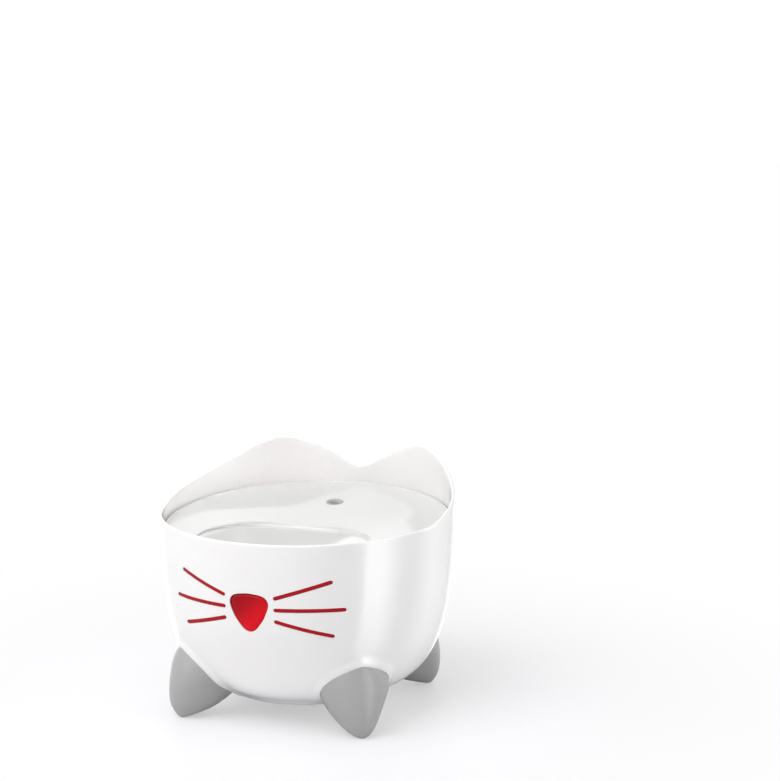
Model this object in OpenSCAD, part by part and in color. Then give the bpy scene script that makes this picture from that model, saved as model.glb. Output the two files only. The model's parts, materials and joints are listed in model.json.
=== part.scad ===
// Cat-shaped pet water fountain: a one-piece tank with two ears and four feet,
// a lift-out drinking dish, a filter under the dish and a pump on the tank floor.
// Millimetres. The nose faces -Y, +Z is up, the origin is under the centre on the floor.

/* [Tank] */
// Outer radius of the tank at its rim
bowl_r = 100; // [96:1:108]
// Height of the tank's flat underside above the floor
base_z = 12; // [11:1:16]
// Radius of the flat underside
base_flat_r = 51; // [46:1:53]
// Radius where the belly curve starts
base_edge_r = 56; // [54:1:60]
// Wall thickness of the tank
wall = 2.4; // [2:0.1:2.8]
// Rise of the bevel round the underside
base_bevel = 1.4; // [1:0.1:2]
// Height at which the wall becomes upright
upright_z = 140; // [136:1:146]
// Pull of the belly curve at its upper end, as a height
belly_z = 20; // [16:1:26]

/* [Ears and rim] */
// Height of the rim at the sides
rim_z = 133.8; // [132:0.1:136]
// Drop of the rim towards the front, per unit of length
rim_slope = 0.032; // [0.01:0.002:0.05]
// Height of the ear tips above the rim
ear_rise = 32.5; // [26:0.5:38]
// Angle of each ear tip from the back
ear_angle = 33; // [29:1:36]
// Height of the notch between the ears above the rim
notch_rise = 11.8; // [9:0.2:16]

/* [Dish] */
// Gap between the dish and the tank wall
dish_gap = 0.9; // [0.8:0.1:1.4]
// Height of the dish's edge at the sides
dish_z = 126.2; // [125:0.2:128]
// Rise of the dish's edge towards the back, per unit of length
dish_slope = 0.085; // [0.06:0.005:0.1]
// Width of the raised edge of the dish
dish_lip_w = 2.2; // [1.8:0.1:2.8]
// Height of the raised edge above the plate
dish_lip_h = 0.9; // [0.6:0.1:1.2]
// Depth of the plate at its middle, below its outer edge
dish_dip = 3.3; // [2.4:0.1:4]
// Thickness of the dish
dish_t = 2.4; // [2:0.1:2.8]
// Thickness of the ribs under the dish
rib_t = 1.6; // [1.2:0.1:2]
// Level of the pool floor in the front of the dish
pool_z = 119.8; // [119.4:0.1:120.6]
// Height of the land in front of the pool above the pool floor
land_h = 1.5; // [1:0.1:1.8]
// Radius of the pool's round ends
pool_r = 39; // [37:1:42]
// Distance of the pool's end centres from the middle
pool_half = 20; // [16:1:22]
// Distance of the pool's middle from the front of the tank
pool_in = 58; // [57:1:60]
// Height of the ledge that carries the dish
ledge_z = 109; // [107:0.5:110]
// Width of the ledge
ledge_w = 4; // [3:0.5:5]

/* [Spout] */
// Distance of the spout behind the axis
spout_y = 50; // [48:0.5:51]
// Radius of the spout's mouth
spout_r = 3.8; // [3.4:0.1:4.2]
// Outer radius of the riser tube
riser_r = 6; // [5.8:0.1:6.4]
// Gap round the riser tube in the dish's socket
riser_gap = 0.3; // [0.25:0.05:0.5]

/* [Face] */
// Height of the middle of the nose
nose_z = 87; // [84:0.5:90]
// Mean radius of the nose outline
nose_r = 12.6; // [11.5:0.1:13.2]
// Width of the sunk border round the nose's lens
lens_border = 1.2; // [0.8:0.1:1.6]
// Width of a whisker
whisker_w = 2.5; // [2:0.1:3]
// Depth of a whisker's groove
whisker_d = 1.2; // [0.9:0.1:1.4]
// Distance of a whisker's inner end from the middle
whisker_x = 17.8; // [17:0.2:20]
// Height between two whiskers at their inner ends
whisker_step = 7.8; // [6:0.2:8.4]

/* [Feet] */
// Angle of the feet from the front and the back
foot_angle = 45; // [42:1:48]
// Distance of a foot's screw from the side of the tank
foot_screw_in = 28; // [26:0.5:29]
// Height of the collar that the tank raises round each foot
collar_h = 1.5; // [1:0.1:1.8]
// Width of the collar
collar_w = 7; // [5:0.5:8]
// Seam between a foot and its collar
collar_gap = 0.4; // [0.3:0.05:0.6]
// Radius of the boss in a foot
foot_boss_r = 4.5; // [4:0.1:5]
// Radius of the foot screws
foot_screw = 1.4; // [1.2:0.1:1.5]

/* [Pump] */
// Width of the motor block
motor_w = 40; // [36:1:42]
// Length of the motor block
motor_l = 38; // [36:1:39]
// Height of the motor block
motor_h = 34; // [33:1:36]
// Height of the pump's axis above the tank floor
pump_axis_h = 23.6; // [23:0.2:25]
// Radius of the impeller chamber
chamber_r = 13; // [12.5:0.1:13.4]
// Depth of the impeller chamber
chamber_d = 14; // [13:0.5:15]
// Radius of the impeller
impeller_r = 11; // [9.5:0.1:11.4]
// Number of impeller blades
blades = 6; // [5:1:8]
// Radius of the impeller's shaft
shaft_r = 1; // [0.9:0.05:1.2]
// Running gap between the shaft and its bores
shaft_gap = 0.05; // [0.03:0.01:0.08]

/* [Filter] */
// Radius of the filter tray's round ends
tray_r = 33; // [31:0.5:34]
// Distance of the tray's end centres from the middle
tray_half = 22; // [20:0.5:23]
// Height of the filter tray
tray_h = 20; // [18:0.5:22]
// Wall thickness of the tray
tray_t = 1.8; // [1.5:0.1:2.2]
// Thickness of the foam pad
foam_h = 5; // [4:0.5:5.5]
// Thickness of the carbon bed
carbon_h = 7.6; // [7:0.1:8]

/* [Cord gland] */
// Height of the cord gland
gland_z = 117; // [116:0.5:118]
// Radius of the gland's hole in the wall
gland_r = 4.2; // [4:0.1:4.4]
// Bore that grips the pump's lead
gland_bore = 2.2; // [2:0.1:2.6]
// Reach of the gland's sleeve inside the wall
gland_sleeve = 8; // [7:0.5:9]

/* [Hidden] */
$fn = 96;
eps = 0.01;
far = 2.6 * bowl_r;

// ---- Tank profile ----
profile_steps = 26;
belly_a = [base_edge_r, base_z + base_bevel];
belly_b = [base_edge_r + 17.8, base_z + base_bevel + 13.7];
belly_c = [bowl_r, belly_z];
belly_d = [bowl_r, upright_z];
floor_z = base_z + wall;
tank_top = rim_z + ear_rise + 20;

// Point and direction of the belly curve at t, from the underside to the rim
function belly(t) = pow(1 - t, 3) * belly_a + 3 * pow(1 - t, 2) * t * belly_b
    + 3 * (1 - t) * t * t * belly_c + pow(t, 3) * belly_d;
function belly_dir(t) = 3 * pow(1 - t, 2) * (belly_b - belly_a) + 6 * (1 - t) * t * (belly_c - belly_b)
    + 3 * t * t * (belly_d - belly_c);
// The belly curve moved inwards by an inset
function belly_in(t, inset) = let (d = belly_dir(t) / norm(belly_dir(t)))
    belly(t) + inset * [-d[1], d[0]];

// Place on the belly curve at a height, found by halving
function belly_t(z, lo = 0, hi = 1, n = 20) = let (mid = (lo + hi) / 2)
    n == 0 ? mid : belly(mid)[1] < z ? belly_t(z, mid, hi, n - 1) : belly_t(z, lo, mid, n - 1);

// The tank as a full solid, shrunk by an inset on all its faces
module bowl_solid(inset = 0, top = tank_top)
    rotate_extrude()
        polygon(concat([[0, base_z + inset], [base_flat_r - inset / 4, base_z + inset]],
            [for (i = [0 : profile_steps]) belly_in(i / profile_steps, inset)],
            [[bowl_r - inset, top], [0, top]]));

// The layer of the tank's wall between two insets
module bowl_layer(outer, inner)
    difference() {
        bowl_solid(outer);
        bowl_solid(inner, top = tank_top + 1);
    }

// ---- Crown: the top edge of the tank by angle from the back ----
rim_end = 106;
crown = [[0, notch_rise, 0], [5, notch_rise + 2.4, 0.9], [ear_angle, ear_rise, 0],
    [ear_angle + 7, ear_rise - 2.5, -0.5], [66, ear_rise * 0.43, -0.62], [90, 4.2, -0.36],
    [rim_end, rim_slope * bowl_r * cos(rim_end), -0.05]];
function hermite(p, q, a) = let (h = q[0] - p[0], t = (a - p[0]) / h)
    (1 - 3 * t * t + 2 * pow(t, 3)) * p[1] + (t - 2 * t * t + pow(t, 3)) * h * p[2]
    + (3 * t * t - 2 * pow(t, 3)) * q[1] + (pow(t, 3) - t * t) * h * q[2];
function crown_rise(a, i = 0) = a >= rim_end ? rim_slope * bowl_r * cos(a)
    : a <= crown[i + 1][0] ? hermite(crown[i], crown[i + 1], a) : crown_rise(a, i + 1);
function crown_z(turn) = let (a = turn > 180 ? 360 - turn : turn) rim_z + crown_rise(a);

// Everything above the tank's top edge, as a ring whose lower face rounds off the edge
rim_round = 1.1;
module crown_cut(steps = 96) {
    r_in = bowl_r - wall - 10;
    r_out = bowl_r + 8;
    top = tank_top + 10;
    inner = bowl_r - wall;
    side = [[-0.15, 1], [0.35, 0.32], [0.9, 0]];
    low = concat([[r_in, rim_round]], [for (p = side) [inner + p[0], p[1] * rim_round]],
        [for (i = [2 : -1 : 0]) [bowl_r - side[i][0], side[i][1] * rim_round]], [[r_out, rim_round]]);
    n = len(low) + 2;
    ring = [for (i = [0 : steps - 1]) let (turn = 360 * i / steps, z = crown_z(turn))
        each [for (p = concat([for (q = low) [q[0], z - q[1]]], [[r_out, top], [r_in, top]]))
            [p[0] * sin(turn), p[0] * cos(turn), p[1]]]];
    faces = [for (i = [0 : steps - 1], k = [0 : n - 1])
        let (a = n * i, b = n * ((i + 1) % steps), l = (k + 1) % n)
        each [[a + k, b + k, b + l], [a + k, b + l, a + l]]];
    polyhedron(ring, faces, convexity = 6);
}

// ---- Small shape helpers ----
// A bar with round ends between two points, in the plane
module stroke(p, q, w, steps = 12) {
    turn = atan2(q[1] - p[1], q[0] - p[0]);
    polygon(concat(
        [for (i = [0 : steps]) q + w / 2 * [cos(turn - 90 + 180 * i / steps), sin(turn - 90 + 180 * i / steps)]],
        [for (i = [0 : steps]) p + w / 2 * [cos(turn + 90 + 180 * i / steps), sin(turn + 90 + 180 * i / steps)]]));
}
// A flat plate outline with round ends to left and right
module stadium(half, r) {
    for (s = [-1, 1])
        translate([s * half, 0]) circle(r);
    translate([-half, -r]) square([2 * half, 2 * r]);
}
// A rectangle with rounded corners
module round_rect(w, l, r) {
    for (x = [-1, 1], y = [-1, 1])
        translate([x * (w / 2 - r), y * (l / 2 - r)]) circle(r);
    square([w - 2 * r, l], center = true);
    square([w, l - 2 * r], center = true);
}
// Turns an outline in x and z into a prism along Y, from y0 to y1
module along_y(y0, y1)
    translate([0, y1, 0]) rotate([90, 0, 0]) linear_extrude(y1 - y0) children();
// The same, right through the front wall or the back wall of the tank
module through_front() along_y(-bowl_r - 10, -0.6 * bowl_r) children();
module through_back() along_y(0.8 * bowl_r, bowl_r + 10) children();

// ---- Face ----
// Outline of the nose: a rounded triangle standing on its tip
function nose_pts(grow) = [for (i = [0 : 59]) let (a = 6 * i, c = a + 90,
    r = nose_r + grow + 1.65 * cos(3 * c) + 0.3 * cos(6 * c)) r * [cos(a), sin(a)]];
module nose_shape(grow = 0) translate([0, nose_z]) polygon(nose_pts(grow));

lens_gap = 0.25;
lens_border_sink = 1;
flange_w = 3;
gasket_t = 1;
flange_t = 1.6;
lens_step = wall + gasket_t;
pod_front = lens_step + flange_t + 0.05;
pod_y = 21 - bowl_r;
pod_t = 1.8;
pod_wall = 3.2;
pod_screw_x = 24;
pod_ear_t = 3;
pod_ear_y = pod_y - 5;
board_y = pod_y - 7;
board_t = 1.6;
board_w = 16;
board_h = 14;
probe_x = 3.5;
probe_y = pod_y - 4.4;
probe_r = 0.8;
probe_l = 31;
probe_z = nose_z - 39;
socket_z = nose_z - 24;
face_fit = 0.1;
whisker_sink = 0.15;

// Ends of each whisker on the right: slanted up, level, slanted down
whisker_tips = [[51, 17.7 + whisker_step + 2], [57.7, 1], [50.5, -8.8 - whisker_step + 0.2]];
function whisker_root(row) = [whisker_x, nose_z + 1.1 + (1 - row) * whisker_step];
function whisker_tip(row) = [whisker_tips[row][0], nose_z + whisker_tips[row][1] - (row == 0 ? 8 : 0)];
module whisker_shape(side, row, grow = 0)
    scale_side(side) stroke(whisker_root(row), whisker_tip(row), whisker_w + 2 * grow);
module scale_side(side) {
    if (side > 0) children();
    else mirror([1, 0]) children();
}
module whisker(side, row)
    color("firebrick")
        intersection() {
            through_front() whisker_shape(side, row);
            bowl_layer(whisker_sink, whisker_d - face_fit);
        }

// ---- Tank ----
foot_screw_r = bowl_r - foot_screw_in;
gland_flange = gland_r + 1.8;
wall_y = bowl_r - wall;
pilot_gap = 0.1;
boss_z = base_z + 2;
pump_y0 = spout_y - chamber_d / 2 - motor_l;
module at_feet()
    for (a = [foot_angle, 180 - foot_angle, 180 + foot_angle, -foot_angle])
        rotate(a) children();
module shell_posts() {
    for (x = [-1, 1], y = [pump_y0 + 4, pump_y0 + motor_l - 4])
        translate([x * (motor_w / 2 + 2.4), y, floor_z - 1]) cylinder(h = 9, r = 2);
    for (x = [-1, 1])
        along_y(-bowl_r, pod_ear_y) translate([x * pod_screw_x, nose_z]) circle(4);
}
module ledge()
    rotate_extrude()
        polygon([[bowl_r - wall - ledge_w, ledge_z], [bowl_r, ledge_z], [bowl_r, ledge_z - 9],
            [bowl_r - wall - ledge_w, ledge_z - 3]]);
module outer_shell()
    color("white")
        difference() {
            union() {
                difference() {
                    union() {
                        bowl_solid();
                        at_feet() translate([0, -foot_screw_r, boss_z]) cylinder(h = 16, r = foot_boss_r);
                        at_feet() foot_collar();
                    }
                    bowl_solid(wall, top = tank_top + 1);
                }
                intersection() {
                    bowl_solid(wall / 2);
                    union() {
                        ledge();
                        shell_posts();
                    }
                }
            }
            crown_cut();
            translate([0, 0, rim_z + ear_rise + 8]) cylinder(h = 40, r = bowl_r + 10);
            through_front() nose_shape();
            for (side = [-1, 1], row = [0 : 2])
                intersection() {
                    through_front() whisker_shape(side, row, face_fit);
                    bowl_layer(-5, whisker_d);
                }
            through_back() translate([0, gland_z]) circle(gland_r);
            translate([-gland_flange, wall_y - 17.6, ledge_z - 10]) cube([2 * gland_flange, 16.6, 12]);
            at_feet() translate([0, -foot_screw_r, boss_z - 1])
                cylinder(h = 9, r = foot_screw + pilot_gap);
            for (x = [-1, 1])
                along_y(pod_ear_y - 7, pod_ear_y + 1) translate([x * pod_screw_x, nose_z]) circle(1.5);
        }

// ---- Feet ----
// Level slices of a foot: height, inner and outer distance from the tank's side, half width
foot_slices = [[0, 11.2, 7.2, 2.2], [0.6, 13.6, 6.4, 3.9], [1.6, 17, 5.4, 5.8], [3.2, 23, 4.2, 8],
    [5.2, 29.5, 3, 10.1], [9, 37, 1.4, 13], [13, 43, 0.8, 15.6], [18.4, 46, 0.8, 18.7],
    [24, 46, 1.5, 21.6], [30, 45, 2.7, 23.8], [36, 43, 4.2, 23.6], [41, 41, 5.9, 21],
    [45, 39, 7.6, 16.4], [47.4, 37, 8.8, 10.6], [48.8, 35, 10, 5]];
foot_fit = 0.15;
foot_sides = 28;
head_r = 3;
head_h = 2;
seat_z = base_z - 1.2;
module foot_form() {
    n = len(foot_slices);
    points = [for (s = foot_slices, k = [0 : foot_sides - 1]) let (a = 360 * k / foot_sides)
        [s[3] * sin(a), (s[1] + s[2]) / 2 - bowl_r - (s[1] - s[2]) / 2 * cos(a), s[0]]];
    walls = [for (i = [0 : n - 2], k = [0 : foot_sides - 1])
        let (a = i * foot_sides + k, b = i * foot_sides + (k + 1) % foot_sides)
        each [[a, b, b + foot_sides], [a, b + foot_sides, a + foot_sides]]];
    low = [for (k = [0 : foot_sides - 1]) foot_sides - 1 - k];
    high = [for (k = [0 : foot_sides - 1]) (n - 1) * foot_sides + k];
    polyhedron(points, concat(walls, [low, high]), convexity = 4);
}

// ---- Collar that the tank raises round the top of each foot ----
collar_foot_z = 15;
collar_steps = 15;
collar_sunk = -0.8;
// The collar starts low on both sides of a foot and reaches its full height above this rise
collar_start = 0.45;
collar_full = 14;
// Inner and outer distance and half width of a foot at a height
function foot_at(z) = [for (k = [1 : 3]) lookup(z, [for (s = foot_slices) [s[0], s[k]]])];
// Distance from a foot's middle plane at which its side crosses the wall raised by h
function seam_x(z, h) = let (f = foot_at(z), mid = bowl_r - (f[0] + f[1]) / 2, half = (f[0] - f[1]) / 2,
    w = f[2], r = belly(belly_t(z))[0] + h, a = half * half - w * w, b = mid * half,
    c = mid * mid + w * w - r * r, u = max(-1, min(1, (sqrt(max(0, b * b - a * c)) - b) / a)))
    w * sqrt(1 - u * u);
foot_top = foot_slices[len(foot_slices) - 1][0];
// Height at which the front of a foot dips into the wall raised by h, found by halving
function arch_top(h, lo = collar_foot_z, hi = foot_top, n = 20) = let (mid = (lo + hi) / 2)
    n == 0 ? mid : bowl_r - foot_at(mid)[1] > belly(belly_t(mid))[0] + h ? arch_top(h, mid, hi, n - 1)
    : arch_top(h, lo, mid, n - 1);
// The arch over a foot, as distance from its middle plane and height, for a raised wall
function arch(h) = let (top = arch_top(h), rise = top - collar_foot_z,
    zs = [for (i = [0 : collar_steps - 1]) top - rise * pow(1 - i / collar_steps, 1.8)])
    concat([for (i = [0 : collar_steps - 1]) [-seam_x(zs[i], h), zs[i]]], [[0, top]],
    [for (i = [collar_steps - 1 : -1 : 0]) [seam_x(zs[i], h), zs[i]]]);
// A point of the wall at a distance from the foot's middle plane and a height, raised by h
function on_belly(x, z, h) = let (t = belly_t(z), p = belly(t), d = belly_dir(t) / norm(belly_dir(t)),
    turn = asin(x / p[0]), r = p[0] + h * d[1])
    [r * sin(turn), -r * cos(turn), p[1] - h * d[0]];
// Profile of the collar: share of its width away from the foot, share of its height
collar_profile = [[0.04, 0.86], [0.14, 1], [0.34, 0.9], [0.56, 0.55], [0.78, 0.18], [0.95, -0.1]];
module foot_collar() {
    low = arch(-1);
    base = arch(collar_profile[0][1] * collar_h);
    n = len(base);
    points = [for (i = [0 : n - 1])
        let (q = base[min(i + 1, n - 1)] - base[max(i - 1, 0)], d = q / norm(q), out = [-d[1], d[0]],
            lean = belly_dir(belly_t(base[i][1])), rise = lean[1] / norm(lean),
            fade = min(1, collar_start + (base[i][1] - collar_foot_z) / collar_full),
            g = collar_gap, w = collar_w)
        each concat([on_belly(low[i][0] + out[0] * g, low[i][1] + out[1] * g * rise, collar_sunk)],
            [for (c = collar_profile) let (o = g + c[0] * w)
                on_belly(base[i][0] + out[0] * o, base[i][1] + out[1] * o * rise, c[1] * collar_h * fade)],
            [on_belly(base[i][0] + out[0] * w, base[i][1] + out[1] * w * rise, collar_sunk)])];
    m = len(collar_profile) + 2;
    walls = [for (i = [0 : n - 2], k = [0 : m - 1])
        let (a = i * m + k, b = i * m + (k + 1) % m) each [[a, b, b + m], [a, b + m, a + m]]];
    first = [for (k = [m - 1 : -1 : 0]) k];
    last = [for (k = [0 : m - 1]) (n - 1) * m + k];
    polyhedron(points, concat(walls, [first, last]), convexity = 6);
}
module foot(angle)
    color("darkgray")
        difference() {
            rotate(angle)
                difference() {
                    foot_form();
                    translate([0, -foot_screw_r, boss_z - pilot_gap])
                        cylinder(h = 60, r = foot_boss_r + 0.2);
                    translate([0, -foot_screw_r, -1]) cylinder(h = 40, r = foot_screw + 0.2);
                    translate([0, -foot_screw_r, -1]) cylinder(h = seat_z + 1, r = head_r + 0.3);
                    translate([0, -foot_screw_r - 10.5, base_z]) cylinder(h = 60, r = 5);
                    for (x = [-1, 1])
                        translate([x * 12, -foot_screw_r - 5, base_z + 9]) cylinder(h = 40, r = 3.5);
                }
            bowl_solid(-foot_fit);
        }
module foot_screws()
    color("silver")
        at_feet() translate([0, -foot_screw_r, 0]) {
            translate([0, 0, seat_z - head_h]) cylinder(h = head_h, r = head_r);
            translate([0, 0, seat_z - eps]) cylinder(h = boss_z + 7 - seat_z, r = foot_screw);
        }

// ---- Nose light ----
module nose_lens()
    color("red")
        union() {
            intersection() {
                through_front() nose_shape(-lens_gap);
                bowl_layer(lens_border_sink, lens_step + 0.5);
            }
            intersection() {
                through_front() nose_shape(-lens_gap - lens_border);
                bowl_layer(0.2, lens_step + 0.5);
            }
            intersection() {
                through_front() nose_shape(flange_w);
                bowl_layer(lens_step, lens_step + flange_t);
            }
        }
module nose_gasket()
    color("dimgray")
        intersection() {
            difference() {
                through_front() nose_shape(flange_w);
                through_front() nose_shape(0.2);
            }
            bowl_layer(wall, lens_step - 0.02);
        }
module indicator_housing()
    color("gainsboro")
        difference() {
            union() {
                intersection() {
                    bowl_solid(pod_front);
                    along_y(-bowl_r, pod_y) nose_shape(pod_wall);
                }
                along_y(pod_ear_y, pod_ear_y + pod_ear_t)
                    for (x = [-1, 1])
                        stroke([x * 8, nose_z], [x * pod_screw_x, nose_z], 9);
                translate([0, pod_ear_y, socket_z]) cylinder(h = 8, r = 3);
            }
            along_y(-bowl_r, pod_y - pod_t)
                difference() {
                    nose_shape(pod_wall - 2);
                    for (x = [-1, 1])
                        translate([x * 5, nose_z + 2]) circle(1.5);
                }
            along_y(-bowl_r, board_y + board_t) nose_shape(pod_wall - 2);
            along_y(-bowl_r, 0) for (x = [-1, 1])
                translate([x * pod_screw_x, nose_z]) circle(1.7);
            for (x = [-1, 1])
                translate([x * probe_x, probe_y, probe_z + 12]) cylinder(h = 20, r = probe_r + 0.05);
        }
module indicator_board()
    color("green")
        along_y(board_y, board_y + board_t) translate([0, nose_z + 1]) round_rect(board_w, board_h, 1.5);
module indicator_led()
    color("tomato") {
        along_y(board_y - 2.5, board_y) translate([0, nose_z + 1]) circle(2.5);
        translate([0, board_y - 2.5, nose_z + 1]) sphere(2.4);
    }
module indicator_screws()
    color("silver")
        for (x = [-1, 1]) {
            along_y(pod_ear_y + pod_ear_t, pod_ear_y + pod_ear_t + 1.8)
                translate([x * pod_screw_x, nose_z]) circle(2.8);
            along_y(pod_ear_y - 6, pod_ear_y + pod_ear_t + eps) translate([x * pod_screw_x, nose_z]) circle(1.4);
        }
module level_probes()
    color("lightsteelblue")
        for (x = [-1, 1])
            translate([x * probe_x, probe_y, probe_z]) cylinder(h = probe_l, r = probe_r);

// Lead from the nose light to the pump, along the inside of the tank
lead_r = 1.5;
lead_sides = 8;
motor_z0 = floor_z + pump_axis_h - motor_h / 2;
lead_path = [[0, pod_ear_y, socket_z], [0, pod_ear_y, socket_z - 5], [0, -82.5, 52], [0, -79, 44],
    [0, -73, 35], [0, -65, 27.5], [0, -56, 22], [0, -46, 18.5], [0, -34, 17], [0, -20, 17],
    [0, pump_y0 - 14, 18.5], [0, pump_y0 - 9, motor_z0 + 4.4], [0, pump_y0 - 4, motor_z0 + 5]];
function lead_dir(i) = let (n = len(lead_path) - 1)
    i == 0 ? [0, 0, -1] : i == n ? [0, 1, 0]
    : (lead_path[i + 1] - lead_path[i - 1]) / norm(lead_path[i + 1] - lead_path[i - 1]);
module indicator_lead() {
    n = len(lead_path);
    points = [for (i = [0 : n - 1]) let (d = lead_dir(i), up = cross([1, 0, 0], d))
        each [for (k = [0 : lead_sides - 1]) let (a = 360 * k / lead_sides)
            lead_path[i] + lead_r * (cos(a) * [1, 0, 0] + sin(a) * up)]];
    walls = [for (i = [0 : n - 2], k = [0 : lead_sides - 1])
        let (a = i * lead_sides + k, b = i * lead_sides + (k + 1) % lead_sides)
        each [[a, b + lead_sides, b], [a, a + lead_sides, b + lead_sides]]];
    first = [for (k = [0 : lead_sides - 1]) k];
    last = [for (k = [0 : lead_sides - 1]) n * lead_sides - 1 - k];
    color("black") polyhedron(points, concat(walls, [first, last]), convexity = 4);
}

// ---- Cord gland in the back wall: a sleeve inside grips the lead, the mouth outside is wide ----
gland_fit = 0.1;
module cord_gland()
    color("dimgray")
        difference() {
            union() {
                along_y(wall_y - gland_sleeve, bowl_r - 0.2)
                    translate([0, gland_z]) circle(gland_r - gland_fit);
                along_y(wall_y - 2.2, wall_y - 0.7) translate([0, gland_z]) circle(gland_flange - 0.6);
            }
            through_back() translate([0, gland_z]) circle(gland_bore);
            translate([0, wall_y - 3, gland_z]) rotate([-90, 0, 0])
                cylinder(h = 1, r1 = gland_bore, r2 = gland_bore + 1);
            along_y(wall_y - 2 - eps, bowl_r + 10) translate([0, gland_z]) circle(gland_bore + 1);
        }

// ---- Drinking dish ----
dish_r = bowl_r - wall - dish_gap;
dish_tilt = atan(dish_slope);
plate_r = dish_r - dish_lip_w;
pool_y = bowl_r - pool_in;
land_y = 6 - pool_y;
spout_tilt = atan(dish_slope + dish_dip / plate_r);
land_z = pool_z + land_h;
socket_r = riser_r + riser_gap;
skirt_slot = gland_flange + 2;
post_x = tray_half + tray_r + 7;
post_r = 2.5;
drain_r = 1.6;
lip_bevel = 0.4;
rib_z = ledge_z + 6;
// Height of the plate's surface on the middle line
function plate_z(y) = dish_z + dish_slope * y - dish_lip_h - dish_dip * (1 - abs(y) / plate_r);
// Everything below the dish's upper face, lowered and drawn in
module dish_body(drop, inset) {
    below = [0, 0, -drop];
    difference() {
        union() {
            intersection() {
                cylinder(h = far, r = dish_r - inset);
                translate([0, 0, dish_z - drop]) rotate([dish_tilt, 0, 0])
                    rotate_extrude()
                        polygon([[0, -60], [dish_r + 12, -60], [dish_r + 12, 0],
                            [plate_r - inset + lip_bevel, 0], [plate_r - inset, -lip_bevel],
                            [plate_r - inset, -dish_lip_h],
                            [0, -dish_lip_h - dish_dip]]);
            }
            intersection() {
                cylinder(h = land_z - drop, r = dish_r - inset);
                translate([-far / 2, -far, 0]) cube([far, far + land_y, far]);
            }
            intersection() {
                difference() {
                    cylinder(h = land_z + 1.2 - drop, r = dish_r - inset);
                    translate([0, 0, -1]) cylinder(h = far, r = plate_r - inset);
                }
                translate([-far / 2, -far, 0]) cube([far, far + land_y, far]);
            }
        }
        translate([0, -pool_y, pool_z - drop]) linear_extrude(40) stadium(pool_half, pool_r + drop * 0.4);
    }
}
// Ribs under the plate, from the socket of the riser tube out to the skirt
module dish_ribs()
    intersection() {
        dish_body(dish_t / 2, dish_lip_w / 2);
        for (a = [0, 45, 135, 180])
            translate([0, spout_y, rib_z]) rotate(a)
                translate([socket_r + 1, -rib_t / 2, 0]) cube([far, rib_t, dish_z]);
    }
module drinking_dish()
    color("lightgray")
        difference() {
            union() {
                difference() {
                    dish_body(0, 0);
                    dish_body(dish_t, dish_lip_w);
                    cylinder(h = 2 * ledge_z, r = far, center = true);
                }
                dish_ribs();
                translate([0, spout_y, ledge_z + 2])
                    cylinder(h = plate_z(spout_y) - ledge_z - 3, r = socket_r + 2);
                for (x = [-1, 1])
                    translate([x * post_x, -pool_y, ledge_z - 2])
                        cylinder(h = land_z - ledge_z + 1, r = post_r);
            }
            translate([0, spout_y, ledge_z]) cylinder(h = plate_z(spout_y) - dish_t - ledge_z, r = socket_r);
            at_spout() translate([0, 0, -dish_t - 1.5]) cylinder(h = 20, r = spout_r + 1.8);
            for (x = [-2 : 2])
                translate([x * 15, -pool_y - 28, pool_z - 10]) linear_extrude(20)
                    stroke([-4, 0], [4, 0], 2 * drain_r);
            translate([-skirt_slot, wall_y - 18, 0]) cube([2 * skirt_slot, 30, gland_z + gland_flange + 2]);
        }
module at_spout()
    translate([0, spout_y, plate_z(spout_y)]) rotate([spout_tilt, 0, 0]) children();
module spout_ring()
    color("whitesmoke")
        at_spout()
            difference() {
                translate([0, 0, -dish_t - 0.4]) cylinder(h = dish_t + 0.7, r = spout_r + 1.7);
                translate([0, 0, -10]) cylinder(h = 20, r = spout_r - 0.6);
                translate([0, 0, -0.6]) cylinder(h = 1, r1 = spout_r - 0.6, r2 = spout_r + 1);
            }

// ---- Filter ----
tray_top = pool_z - dish_t - 0.3;
tray_z = tray_top - tray_h;
media_gap = 0.3;
module tray_shape(inset) translate([0, -pool_y]) stadium(tray_half, tray_r - inset);
module filter_tray()
    color("lightgray")
        difference() {
            union() {
                translate([0, 0, tray_z]) linear_extrude(tray_h) tray_shape(0);
                for (x = [-1, 1]) {
                    translate([x * post_x, -pool_y, tray_top - 8]) cylinder(h = 8, r = 5);
                    translate([x * (post_x - 5) - 4, -pool_y - 3, tray_top - 8]) cube([8, 6, 8]);
                }
            }
            translate([0, 0, tray_z + tray_t]) linear_extrude(far) tray_shape(tray_t);
            for (x = [-1, 1])
                translate([x * post_x, -pool_y, 0]) cylinder(h = far, r = post_r + 0.06);
            for (x = [-5 : 5], y = [-1, 1])
                translate([0, 0, tray_z - 1]) linear_extrude(tray_t + 2)
                    stroke([x * 8, -pool_y + y * 4], [x * 8, -pool_y + y * (abs(x) > 4 ? 16 : 24)], 3);
        }
module media(z, h, color_name)
    color(color_name) translate([0, 0, z]) linear_extrude(h) tray_shape(tray_t + media_gap);
foam_z = tray_z + tray_t + 0.05;
carbon_z = foam_z + foam_h + 0.05;
cap_z = carbon_z + carbon_h + 0.05;
grip_l = 24;
grip_w = 4;
module filter_foam() media(foam_z, foam_h, "steelblue");
module filter_carbon() media(carbon_z, carbon_h, "#333333");
module filter_cap()
    color("white")
        difference() {
            union() {
                translate([0, 0, cap_z]) linear_extrude(2) tray_shape(tray_t + media_gap);
                translate([0, 0, cap_z + 1]) linear_extrude(2.4)
                    translate([0, -pool_y]) round_rect(grip_l, grip_w, 1.5);
            }
            for (x = [-3 : 3], y = [-2 : 2])
                if (y != 0)
                    translate([x * 12, -pool_y + y * 10, cap_z - 1]) cylinder(h = 4, r = 2);
        }

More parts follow.
